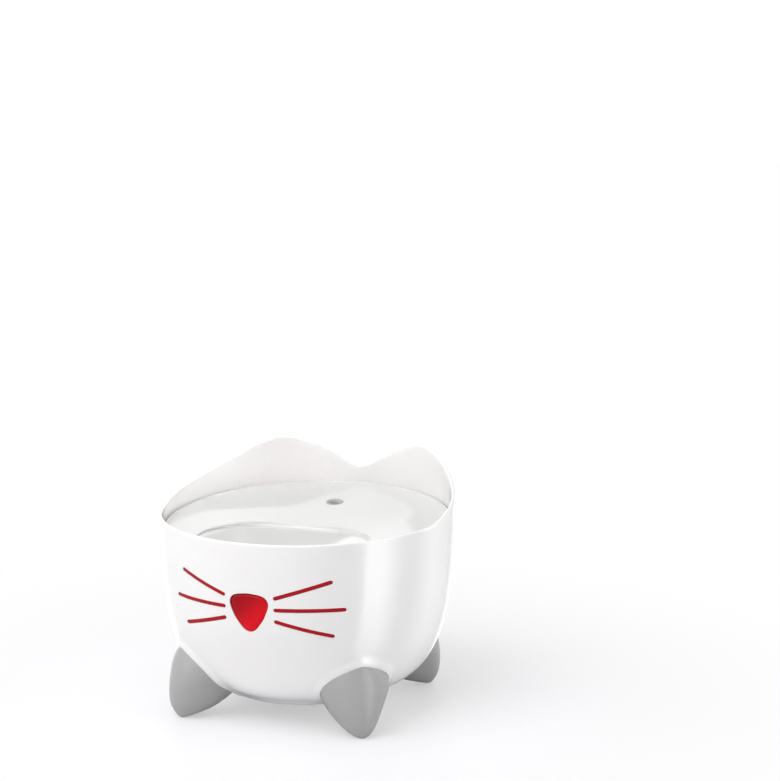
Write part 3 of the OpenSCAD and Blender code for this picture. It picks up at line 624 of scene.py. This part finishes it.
def belly_in(t, inset):
    """The belly curve moved inwards."""
    t = np.atleast_1d(t)
    a, b, c, d = BELLY
    u = t[:, None]
    dirs = 3 * (1 - u) ** 2 * (b - a) + 6 * (1 - u) * u * (c - b) + 3 * u * u * (d - c)
    dirs /= np.linalg.norm(dirs, axis=1)[:, None]
    return belly(t) + inset * np.stack([-dirs[:, 1], dirs[:, 0]], 1)


def wall_radius(z, inset=0.0):
    """Radius of the wall at a height."""
    curve = belly_in(np.linspace(0, 1, 600), inset)
    return np.interp(z, curve[:, 1], curve[:, 0])


def crown_height(turn):
    """Height of the tank's top edge at an angle from the back, in degrees."""
    # Angle, rise above the rim and slope
    knots = [(0, NOTCH_RISE, 0), (5, NOTCH_RISE + 2.4, 0.9), (EAR_ANGLE, EAR_RISE, 0),
             (EAR_ANGLE + 7, EAR_RISE - 2.5, -0.5), (66, EAR_RISE * 0.43, -0.62), (90, 4.2, -0.36),
             (RIM_END, RIM_SLOPE * BOWL_R * math.cos(math.radians(RIM_END)), -0.05)]
    turn = abs((turn + 180) % 360 - 180)
    if turn >= RIM_END:
        return RIM_Z + RIM_SLOPE * BOWL_R * math.cos(math.radians(turn))
    after = next(i for i, knot in enumerate(knots) if i > 0 and turn <= knot[0])
    start, rise, slope = knots[after - 1]
    end, end_rise, end_slope = knots[after]
    span = end - start
    return RIM_Z + hermite((turn - start) / span, span, rise, slope, end_rise, end_slope)


def belly_rows(inset, top, spacing):
    """Evenly spaced values of the belly curve's parameter, up to a height."""
    t = np.linspace(0, 1, 1200)
    curve = belly_in(t, inset)
    length = np.concatenate([[0], np.cumsum(np.linalg.norm(np.diff(curve, axis=0), axis=1))])
    end = np.interp(top, curve[:, 1], length)
    return np.interp(np.linspace(0, end, int(end / spacing) + 1), length, t)


def collar(r, z, psi):
    """How far the tank swells outwards over the feet at a point of its wall."""
    swell = 0.0
    for angle in FOOT_ANGLES.values():
        turn = math.radians(psi - angle)
        if math.cos(turn) < 0.5:
            continue
        across = r * math.sin(turn)
        swell = max(swell, COLLAR_H * (1 - smooth(seam_distance(across, z) / COLLAR_W)))
    return swell


def seam_points():
    """Points (across, height) where a foot's form crosses the tank wall."""
    found = []
    for z in SEAM_HEIGHTS:
        inner, outer, width = (np.interp(z, FOOT_SLICES[:, 0], FOOT_SLICES[:, k]) for k in (1, 2, 3))
        mid = (inner + outer) / 2
        half = (outer - inner) / 2
        wall = float(wall_radius(z))
        if z < BASE_Z + BASE_BEVEL:
            wall = BASE_FLAT_R + (z - BASE_Z) / BASE_BEVEL * (BASE_EDGE_R - BASE_FLAT_R)
        best = None
        for u in np.linspace(0, 1, 200):
            across = width * math.sin(math.pi * u / 2)
            along = mid + half * math.cos(math.pi * u / 2)
            if math.hypot(across, along) >= wall:
                best = across
        if best is not None:
            found.append((best, z))
    return np.array(found)


SEAM = seam_points()


def seam_distance(across, z):
    """Rough distance of a wall point outside the seam of a foot; 0 inside it."""
    reach, height = SEAM.T
    half = np.interp(z, height, reach, left=0.0, right=0.0)
    if height.min() <= z <= height.max() and abs(across) <= half:
        return 0.0
    return float(np.min(np.hypot(np.abs(across) - reach, z - height)))


def outer_rows():
    """Rows (radius, height) of the tank's outside below the crown."""
    rows = [(12.0, BASE_Z), (26.0, BASE_Z), (38.0, BASE_Z), (46.0, BASE_Z), (50.4, BASE_Z + 0.05),
            (52.2, BASE_Z + 0.3)]
    rows += belly(belly_rows(0.0, CROWN_FROM, 2.0)).tolist()
    return rows


def inner_rows():
    """Rows (radius, height) of the tank's inside below the crown, from the top down."""
    inside = BASE_Z + WALL
    t = belly_rows(WALL, CROWN_FROM, 3.0)[::-1]
    curve = [p for p in belly_in(t, WALL).tolist() if p[1] > inside + 0.3]
    above = [p for p in curve if p[1] > LEDGE_Z + 0.5]
    below = [p for p in curve if p[1] < LEDGE_Z - 9.5]
    wall = float(wall_radius(LEDGE_Z, WALL))
    edge = BOWL_R - WALL - LEDGE_W
    ledge = [(wall, LEDGE_Z + 0.3), (wall - 0.3, LEDGE_Z), (edge + 0.4, LEDGE_Z), (edge, LEDGE_Z - 0.4),
             (edge, LEDGE_Z - 3.0), (float(wall_radius(LEDGE_Z - 9, WALL)), LEDGE_Z - 9.0)]
    floor = [(52.0, inside + 0.05), (44.0, inside), (30.0, inside), (14.0, inside)]
    return above + ledge + below + floor


def wall_section(psi, outer, inner):
    """Wall (radius, height) at an angle from the front, from the underside over the edge to the inside."""
    top = crown_height(180 - psi)
    rim = WALL / 2
    rows = []
    for r, z in outer:
        swell = collar(r, z, psi) if BASE_Z + BASE_BEVEL < z < COLLAR_TOP else 0.0
        rows.append((r + swell, z))
    start = outer[-1][1]
    for k in range(1, CROWN_STEPS + 1):
        z = start + (top - rim - start) * k / CROWN_STEPS
        rows.append((float(wall_radius(z)), z))
    mid = float(wall_radius(top - rim)) - rim
    for k in range(1, RIM_STEPS):
        a = math.pi * k / RIM_STEPS
        rows.append((mid + rim * math.cos(a), top - rim + rim * math.sin(a)))
    end = inner[0][1]
    for k in range(CROWN_STEPS + 1):
        z = top - rim + (end - top + rim) * k / CROWN_STEPS
        rows.append((float(wall_radius(z, WALL)), z))
    return rows + inner[1:]


def make_shell(mats):
    """White tank with ears, foot collars, face grooves and nose opening."""
    outer = outer_rows()
    inner = inner_rows()
    columns = []
    for j in range(SHELL_COLS):
        psi = 360.0 * j / SHELL_COLS
        s = math.sin(math.radians(psi))
        c = -math.cos(math.radians(psi))
        columns.append([(r * s, r * c, z) for r, z in wall_section(psi, outer, inner)])
    shell = ring_solid("tank_shell", np.array(columns).transpose(1, 0, 2))
    cutters = [nose_cutter()]
    for side in (-1, 1):
        for _, root, tip in WHISKERS:
            half = WHISKER_W / 2 + GROOVE_GAP
            cutters.append(strip("groove", root, tip, side, half, WHISKER_D, -12.0, flat=True))
    for angle in FOOT_ANGLES.values():
        cutters.append(foot_mesh("socket", angle, FOOT_SOCKET_GAP, 0.0))
    cutters.append(gland_cutter())
    cut(shell, join(cutters, "tank_cutter"))
    dressed(shell, "tank", mats["shell"], "shell_white", "outer_shell")


def gland_cutter():
    """Hole for the cord gland through the back wall."""
    circle = [(GLAND_R * math.cos(a), GLAND_Z + GLAND_R * math.sin(a)) for a in full_turn(48)]
    return ring_solid("gland_hole", [[(x, y, z) for x, z in circle] for y in (90.0, 106.0)])


# ==== Face ====
def nose_outline(grow):
    """Outline of the nose in x and z: a circle with three soft corners."""
    a = full_turn(120)
    c = a + math.pi / 2
    r = NOSE_R + grow + NOSE_CORNERS * np.cos(3 * c) + NOSE_POINTS * np.cos(6 * c)
    return np.stack([r * np.cos(a), NOSE_Z + r * np.sin(a)], 1)


def on_wall(x, z, depth):
    """Point of the front wall, a depth below its surface."""
    r = float(wall_radius(z)) - depth
    return (x, -math.sqrt(max(r * r - x * x, 0.0)), z)


def nose_cutter():
    """Opening for the nose lens."""
    return ring_solid("nose_hole", [[(x, y, z) for x, z in nose_outline(0.0)] for y in (-115.0, -80.0)])


def make_nose(mats):
    """Red lens: a sunk border and a domed middle, with its flange inside the wall."""
    # Growth of the outline and depth below the wall's surface
    profile = [(3.0, 5.0), (3.0, 3.4), (-0.15, 3.4), (-0.15, 0.95), (-0.35, 0.7), (-1.1, 0.62), (-1.35, 0.5),
               (-1.6, 0.15), (-2.2, -0.1), (-3.4, -0.35), (-5.4, -0.62), (-8.0, -0.85), (-10.5, -0.95)]
    rings = [[on_wall(x, z, depth) for x, z in nose_outline(grow)] for grow, depth in profile]
    nose = ring_solid("nose_light", rings, 50.0)
    dressed(nose, "tank", mats["nose"], "nose_red", "nose_lens")


def strip(name, root, tip, side, half, depth, top, flat=False):
    """A strip with round ends that follows the front wall between two depths."""
    root = np.array(root)
    tip = np.array(tip)
    length = np.linalg.norm(tip - root)
    along = (tip - root) / length
    across = np.array([-along[1], along[0]])
    ends = half * (1 - np.cos(np.linspace(0, math.pi / 2, 9)))
    stations = np.concatenate([-half + ends, np.linspace(0, length, 40)[1:-1], length + half - ends[::-1]])
    section = np.linspace(-1, 1, 7)
    rings = []
    for s in stations:
        over = max(-s, s - length, 0.0)
        width = max(math.sqrt(max(half * half - over * over, 0.0)), STRIP_TIP)
        ring = []
        for u in section:
            x, z = root + along * s + across * width * u
            ring.append(on_wall(side * x, z, depth))
        for u in section[::-1]:
            x, z = root + along * s + across * width * u
            edge = 0.0 if flat else INLAY_ROUND * abs(u) ** 4
            ring.append(on_wall(side * x, z, top + edge))
        rings.append(ring)
    return ring_solid(name, rings, 50.0)


def make_whiskers(mats):
    """Six red inlays in the grooves of the wall."""
    for side, word in ((-1, "left"), (1, "right")):
        for name, root, tip in WHISKERS:
            piece = strip(f"whisker_{word}_{name}_inlay", root, tip, side, WHISKER_W / 2 - INLAY_GAP,
                          WHISKER_D - INLAY_SEAT, INLAY_SUNK)
            dressed(piece, "tank", mats["whisker"], "whisker_red", f"whisker_{word}_{name}")


# ==== Feet ====
def slices_at(z):
    """Inner and outer reach and half width of a foot at heights, on smooth curves."""
    return [smooth_curve(z, FOOT_SLICES[:, 0], FOOT_SLICES[:, k]) for k in (1, 2, 3)]


def smooth_curve(x, known, values):
    """Smooth curve through known values."""
    slopes = np.gradient(values, known)
    i = np.clip(np.searchsorted(known, x) - 1, 0, len(known) - 2)
    h = known[i + 1] - known[i]
    return hermite((x - known[i]) / h, h, values[i], slopes[i], values[i + 1], slopes[i + 1])


def foot_mesh(name, angle, grow, inside):
    """The form of a foot outside the tank wall; inside is the gap to the wall."""
    z = np.concatenate([np.linspace(0, 1, 10) ** 2 * 3.0, np.linspace(3.0, FOOT_TOP, 40)[1:]])
    inner, outer, width = slices_at(z)
    turn = full_turn(72)
    rings = []
    for k in range(len(z)):
        mid = (inner[k] + outer[k]) / 2
        half = (outer[k] - inner[k]) / 2 + grow
        along = mid + half * np.cos(turn)
        across = (width[k] + grow) * np.sin(turn)
        rings.append(np.stack([across, -along, np.full_like(turn, z[k])], 1))
    foot = ring_solid(name, rings, 60.0)
    cut(foot, bowl_core(inside), 60.0)
    foot.data.transform(Matrix.Rotation(math.radians(angle), 4, "Z"))
    return foot


def bowl_core(gap):
    """The tank's outer form as a full solid, grown by a gap, up to above the feet."""
    profile = [(40.0, BASE_Z - gap), (50.6 + gap / 2, BASE_Z - gap), (52.2 + gap / 2, BASE_Z + 0.3 - gap)]
    profile += belly_in(belly_rows(0.0, 70.0, 1.5), -gap).tolist()
    return lathe("bowl_core", profile, steps=240)


def make_feet(mats):
    """Four satin grey feet in the tank's sockets."""
    for node, angle in FOOT_ANGLES.items():
        foot = foot_mesh(f"{node}_shell", angle, 0.0, FOOT_SEAT)
        dressed(foot, "tank", mats["foot"], "foot_grey", node)


# ==== Dish ====
def plate_height(x, y):
    """Height of the dish's plate at a place."""
    plate = DISH_Z + DISH_SLOPE * y - LIP_H - DISH_DIP * (1 - np.hypot(x, y) / PLATE_R)
    return smooth_max(plate, LAND_Z, LAND_BLEND)


def edge_height(y):
    """Height of the dish's raised edge."""
    return smooth_max(DISH_Z + DISH_SLOPE * y, LAND_Z + LAND_LIP, LAND_BLEND)


def pool_reach(angle):
    """Distance from the pool's middle to its edge in a direction."""
    c = abs(math.cos(angle))
    s = abs(math.sin(angle))
    if s > 1e-9 and POOL_R / s * c <= POOL_HALF:
        return POOL_R / s
    return POOL_HALF * c + math.sqrt(POOL_R ** 2 - (POOL_HALF * s) ** 2)


def circle_reach(angle, radius):
    """Distance from the pool's middle to a circle about the tank's axis in a direction."""
    b = POOL_Y * math.sin(angle)
    return -b + math.sqrt(b * b - POOL_Y ** 2 + radius ** 2)


def dish_loops(pool, rim):
    """Loops (distances from the pool's middle, share of the plate's height) of pool, step and plate."""
    inside = pool + POOL_STEP_IN
    outside = pool + POOL_STEP_OUT
    loops = [(inside * share, 0.0) for share in (0.12, 0.3, 0.5, 0.7, 0.86)]
    for u in np.linspace(0, 1, 11):
        loops.append((inside + (POOL_STEP_OUT - POOL_STEP_IN) * u, float(smooth(u))))
    for share in np.linspace(0, 1, 34)[1:]:
        loops.append((outside + (rim - 0.3 - pool - POOL_STEP_OUT) * share, 1.0))
    return loops


def dish_row(turn, reach, lift, depth):
    """Row of points round the pool's middle, a depth below the dish's upper side."""
    x = np.cos(turn) * reach
    y = POOL_Y + np.sin(turn) * reach
    return np.column_stack([x, y, POOL_Z + (plate_height(x, y) - POOL_Z) * lift - depth])


def dish_border(edge, plate):
    """Rows (radius, height) over the raised edge and down the skirt to the plate's underside."""
    rows = [(PLATE_R, plate + (edge - plate) * 0.35), (PLATE_R + 0.12, plate + (edge - plate) * 0.75)]
    for k in range(7):
        a = math.pi * (1 - k / 6)
        radius = PLATE_R + LIP_FILLET + (LIP_W - LIP_FILLET) / 2 * (1 + math.cos(a))
        rows.append((radius, edge - LIP_ROUND + LIP_ROUND * math.sin(a)))
    for share in (0.25, 0.6, 1.0):
        rows.append((DISH_R, edge - 0.6 + (LEDGE_Z + 0.3 - edge + 0.6) * share))
    rows += [(DISH_R - 0.3, LEDGE_Z + 0.02), (PLATE_R + 0.3, LEDGE_Z + 0.02), (PLATE_R, LEDGE_Z + 0.4),
             (PLATE_R, plate - DISH_T - 1.0)]
    return rows


def dish_body():
    """Pool, plate, raised edge and skirt as one solid."""
    turn = full_turn(288)
    pool = np.array([pool_reach(a) for a in turn])
    rim = np.array([circle_reach(a, PLATE_R) for a in turn])
    loops = dish_loops(pool, rim)
    rows = [dish_row(turn, reach, lift, 0.0) for reach, lift in loops]
    x = np.cos(turn) * rim
    y = POOL_Y + np.sin(turn) * rim
    outward = np.column_stack([x, y]) / PLATE_R
    for radius, height in dish_border(edge_height(y), plate_height(x, y)):
        rows.append(np.column_stack([outward * radius, np.full(len(turn), height)]))
    for reach, lift in loops[::-1]:
        rows.append(dish_row(turn, np.minimum(reach + DISH_T * 0.3, rim - 1.2), lift, DISH_T))
    return ring_solid("drinking_dish_body", np.array(rows), 40.0)


def make_dish(mats):
    """Glossy grey dish: pool, plate, raised edge, skirt, spout socket and filter posts."""
    dish = dish_body()
    cut(dish, join(dish_cutters(), "dish_cutter"), 40.0)
    parts = [dish, spout_socket()]
    post = [(POST_R - 0.2, POST_END), (POST_R, POST_END + 0.3), (POST_R, LAND_Z - DISH_T + 0.2)]
    for side in (-1, 1):
        parts.append(lathe("post", post, (side * POST_X, POOL_Y), 32))
    whole = join(parts, "dish_body")
    finish_shading(whole, 40.0)
    dressed(whole, "dish", mats["dish"], "dish_grey", "drinking_dish")


def spout_height():
    """Height of the plate at the spout."""
    return float(plate_height(0.0, SPOUT_Y))


def spout_socket():
    """Tube under the dish that slides over the riser, with softened ends."""
    outer = SPOUT_SOCKET_R + SPOUT_SOCKET_WALL
    top = spout_height() - DISH_T + 0.3
    bevel = 0.2
    outline = [(SPOUT_SOCKET_R, SPOUT_SOCKET_END + bevel), (SPOUT_SOCKET_R + bevel, SPOUT_SOCKET_END),
               (outer - bevel, SPOUT_SOCKET_END), (outer, SPOUT_SOCKET_END + bevel), (outer, top - bevel),
               (outer - bevel, top), (SPOUT_SOCKET_R + bevel, top), (SPOUT_SOCKET_R, top - bevel)]
    return hollow("socket", outline, Matrix.Translation((0.0, SPOUT_Y, 0.0)), 64, 40.0)


def dish_cutters():
    """Spout hole, drain slots and the notch for the cord gland."""
    cutters = [lathe("hole", [(SPOUT_HOLE_R, 100.0), (SPOUT_HOLE_R, 140.0)], (0.0, SPOUT_Y), 64)]
    for k in range(-2, 3):
        outline = []
        for end, start in ((1, -90), (-1, 90)):
            for a in np.linspace(start, start + 180, 9):
                outline.append((DRAIN_PITCH * k + DRAIN_HALF * end + DRAIN_R * math.cos(math.radians(a)),
                                DRAIN_Y + DRAIN_R * math.sin(math.radians(a))))
        cutters.append(prism("drain", outline, 112.0, 126.0))
    notch = [(-GLAND_NOTCH, 86.0), (GLAND_NOTCH, 86.0), (GLAND_NOTCH, 104.0), (-GLAND_NOTCH, 104.0)]
    cutters.append(prism("notch", notch, 100.0, 125.0))
    return cutters


def make_spout_ring(mats):
    """Soft ring in the spout hole, with a countersunk mouth."""
    # Radius, and height over the plate
    outline = [(3.2, -2.6), (3.4, -2.8), (5.2, -2.8), (5.4, -2.6), (5.4, 0.05), (5.9, 0.1), (6.1, 0.28),
               (6.0, 0.42), (5.6, 0.5), (5.1, 0.45), (4.4, 0.1), (3.8, -0.5), (3.3, -1.1), (3.2, -1.5)]
    tilt = Matrix.Rotation(math.atan(DISH_SLOPE + DISH_DIP / PLATE_R), 4, "X")
    place = Matrix.Translation((0.0, SPOUT_Y, spout_height())) @ tilt
    ring = hollow("spout_ring_soft", outline, place, 96, 60.0)
    dressed(ring, "dish", mats["ring"], "ring_white", "spout_ring")


# ==== Inner pieces ====
def from_node(node, material, slot, width):
    """A copy of a CAD node that stands for it, with edges rounded by a width."""
    source = frame["nodes"][node]
    mesh = source.data.copy()
    obj = bpy.data.objects.new(f"{node}_finish", mesh)
    bpy.context.scene.collection.objects.link(obj)
    bm = bmesh.new()
    bm.from_mesh(mesh)
    bmesh.ops.remove_doubles(bm, verts=bm.verts, dist=2e-6)
    bmesh.ops.dissolve_limit(bm, angle_limit=math.radians(0.6), verts=bm.verts, edges=bm.edges)
    bm.to_mesh(mesh)
    bm.free()
    if width > 0:
        soften(obj, width)
    else:
        finish_shading(obj)
    dressed(obj, source["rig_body"], material, slot, node)


# Node, material, slot and width of the rounding in millimetres
INNER = (("foot_screws", "steel", "screw_steel", 0.2), ("nose_gasket", "rubber", "seal_rubber", 0.0),
         ("indicator_housing", "pod", "pod_grey", 0.25), ("indicator_board", "board", "board_green", 0.15),
         ("indicator_led", "led", "led_red", 0.0), ("indicator_screws", "steel", "screw_steel", 0.2),
         ("level_probes", "steel", "screw_steel", 0.15), ("indicator_lead", "lead", "lead_black", 0.0),
         ("cord_gland", "rubber", "seal_rubber", 0.2), ("filter_tray", "tray", "tray_grey", 0.3),
         ("filter_foam", "foam", "foam_blue", 0.4), ("filter_carbon", "carbon", "carbon_black", 0.4),
         ("filter_cap", "cap", "cap_white", 0.25), ("riser_tube", "cap", "cap_white", 0.25),
         ("pump_body", "pump", "pump_dark", 0.3), ("impeller_housing", "pump", "pump_dark", 0.3),
         ("intake_cover", "pump", "pump_dark", 0.2), ("flow_regulator", "regulator", "regulator_grey", 0.2),
         ("impeller", "rotor", "rotor_ivory", 0.15), ("impeller_shaft", "ceramic", "shaft_ceramic", 0.1),
         ("shaft_bushes", "rubber", "seal_rubber", 0.1), ("suction_cups", "rubber", "seal_rubber", 0.0))


def make_inner(mats):
    """All pieces that the tank and dish hide at rest."""
    for node, material, slot, width in INNER:
        from_node(node, mats[material], slot, width)


# ==== Stage ====
def floor_material():
    """Pale floor that the camera sees turn to plain white, and that gloss mirrors only near the object."""
    n = Nodes("floor_white", (0.93, 0.93, 0.93), 0.5)
    n.colour(n.noise(3.0), (0.895, 0.898, 0.925), (0.905, 0.908, 0.935))
    white = n.node("ShaderNodeEmission")
    white.inputs["Color"].default_value = (1, 1, 1, 1)
    white.inputs["Strength"].default_value = 1.0
    length = n.node("ShaderNodeVectorMath", operation="LENGTH")
    n.link(n.coords, length.inputs[0])
    away = length.outputs["Value"]
    path = n.node("ShaderNodeLightPath").outputs
    # Painted light: near the object the camera sees part plain white over the floor, which lightens the
    # object's shadow
    seen = n.product(n.smooth_step(away, WHITE_FROM, WHITE_TO, WHITE_NEAR), path["Is Camera Ray"])
    pale = n.mix_shader(seen, n.bsdf.outputs["BSDF"], white.outputs["Emission"])
    mirrored = n.product(n.smooth_step(away, MIRROR_FROM, MIRROR_TO), path["Is Glossy Ray"])
    clear = n.node("ShaderNodeBsdfTransparent")
    n.link(n.mix_shader(mirrored, pale, clear.outputs["BSDF"]), n.surface)
    return n.mat


def make_stage():
    """Round floor under the object."""
    steps = 48
    points = [(r * math.cos(a), r * math.sin(a), 0.0) for r in FLOOR_REACH for a in full_turn(steps)]
    faces = grid_faces(len(FLOOR_REACH), steps)
    faces.append(tuple(range(steps)))
    mesh = bpy.data.meshes.new("floor")
    mesh.from_pydata(points, [], faces)
    mesh.materials.append(floor_material())
    floor = bpy.data.objects.new("floor", mesh)
    bpy.context.scene.collection.objects.link(floor)


def area_light(name, place, target, size, power, spread):
    """A rectangular soft box that looks at a point."""
    light = bpy.data.lights.new(name, "AREA")
    light.shape = "RECTANGLE"
    light.size = size[0]
    light.size_y = size[1]
    light.energy = power
    light.spread = math.radians(spread)
    obj = bpy.data.objects.new(name, light)
    obj.location = place
    obj.rotation_euler = (Vector(target) - Vector(place)).to_track_quat("-Z", "Y").to_euler()
    bpy.context.scene.collection.objects.link(obj)


def make_lights():
    """Soft boxes round the object, and two weak beams on the inner side of the ears and the left wall."""
    for values in LIGHTS:
        area_light(*values)


def make_world():
    """Pale world: the camera sees it white, and glossy pieces mirror its bright and dark sectors."""
    world = bpy.data.worlds.new("studio")
    bpy.context.scene.world = world
    world.use_nodes = True
    n = Tree(world.node_tree, "World Output")
    back = n.tree.nodes["Background"]
    back.inputs["Color"].default_value = (1, 1, 1, 1)
    back.inputs["Strength"].default_value = WORLD_LEVEL
    white = n.node("ShaderNodeBackground")
    white.inputs["Color"].default_value = (1, 1, 1, 1)
    path = n.node("ShaderNodeLightPath").outputs
    coords = n.node("ShaderNodeTexCoord").outputs["Generated"]
    around = n.node("ShaderNodeTexGradient", gradient_type="RADIAL")
    n.link(coords, around.inputs["Vector"])
    sectors = n.ramp(around.outputs["Fac"], [(place, (level,) * 3) for place, level in STUDIO])
    height = n.split(coords)[2]
    held = n.product(sectors, n.map_range(height, LOW_DARK, LOW_FULL))
    first = n.math("LESS_THAN", path["Glossy Depth"], 1.5)
    even = n.mix(first, SECOND_LEVEL, held)
    level = n.mix(n.map_range(height, HIGH_FROM, HIGH_TO), even, HIGH_LEVEL)
    n.link(n.math("MAXIMUM", path["Is Camera Ray"], level), white.inputs["Strength"])
    seen = n.math("MAXIMUM", path["Is Camera Ray"], path["Is Glossy Ray"])
    n.link(n.mix_shader(seen, back.outputs["Background"], white.outputs["Background"]), n.surface)


def make_camera():
    """Camera at the photograph's place, direction and focal length."""
    data = bpy.data.cameras.new("camera")
    data.sensor_fit = "HORIZONTAL"
    data.sensor_width = SENSOR
    data.lens = FOCAL_PX / FRAME_PX * SENSOR
    data.clip_end = 50.0
    obj = bpy.data.objects.new("camera", data)
    forward = Vector(CAMERA_DIR).normalized()
    right = forward.cross(Vector((0, 0, 1))).normalized()
    up = right.cross(forward)
    turn = Matrix((right, up, -forward)).transposed()
    obj.matrix_world = Matrix.Translation(Vector(CAMERA_AT) * MM) @ turn.to_4x4()
    bpy.context.scene.collection.objects.link(obj)
    bpy.context.scene.camera = obj


materials = make_materials()
make_camera()
make_stage()
make_lights()
make_world()
make_shell(materials)
make_nose(materials)
make_whiskers(materials)
make_feet(materials)
make_dish(materials)
make_spout_ring(materials)
make_inner(materials)

bpy.context.scene.view_settings.view_transform = "Standard"
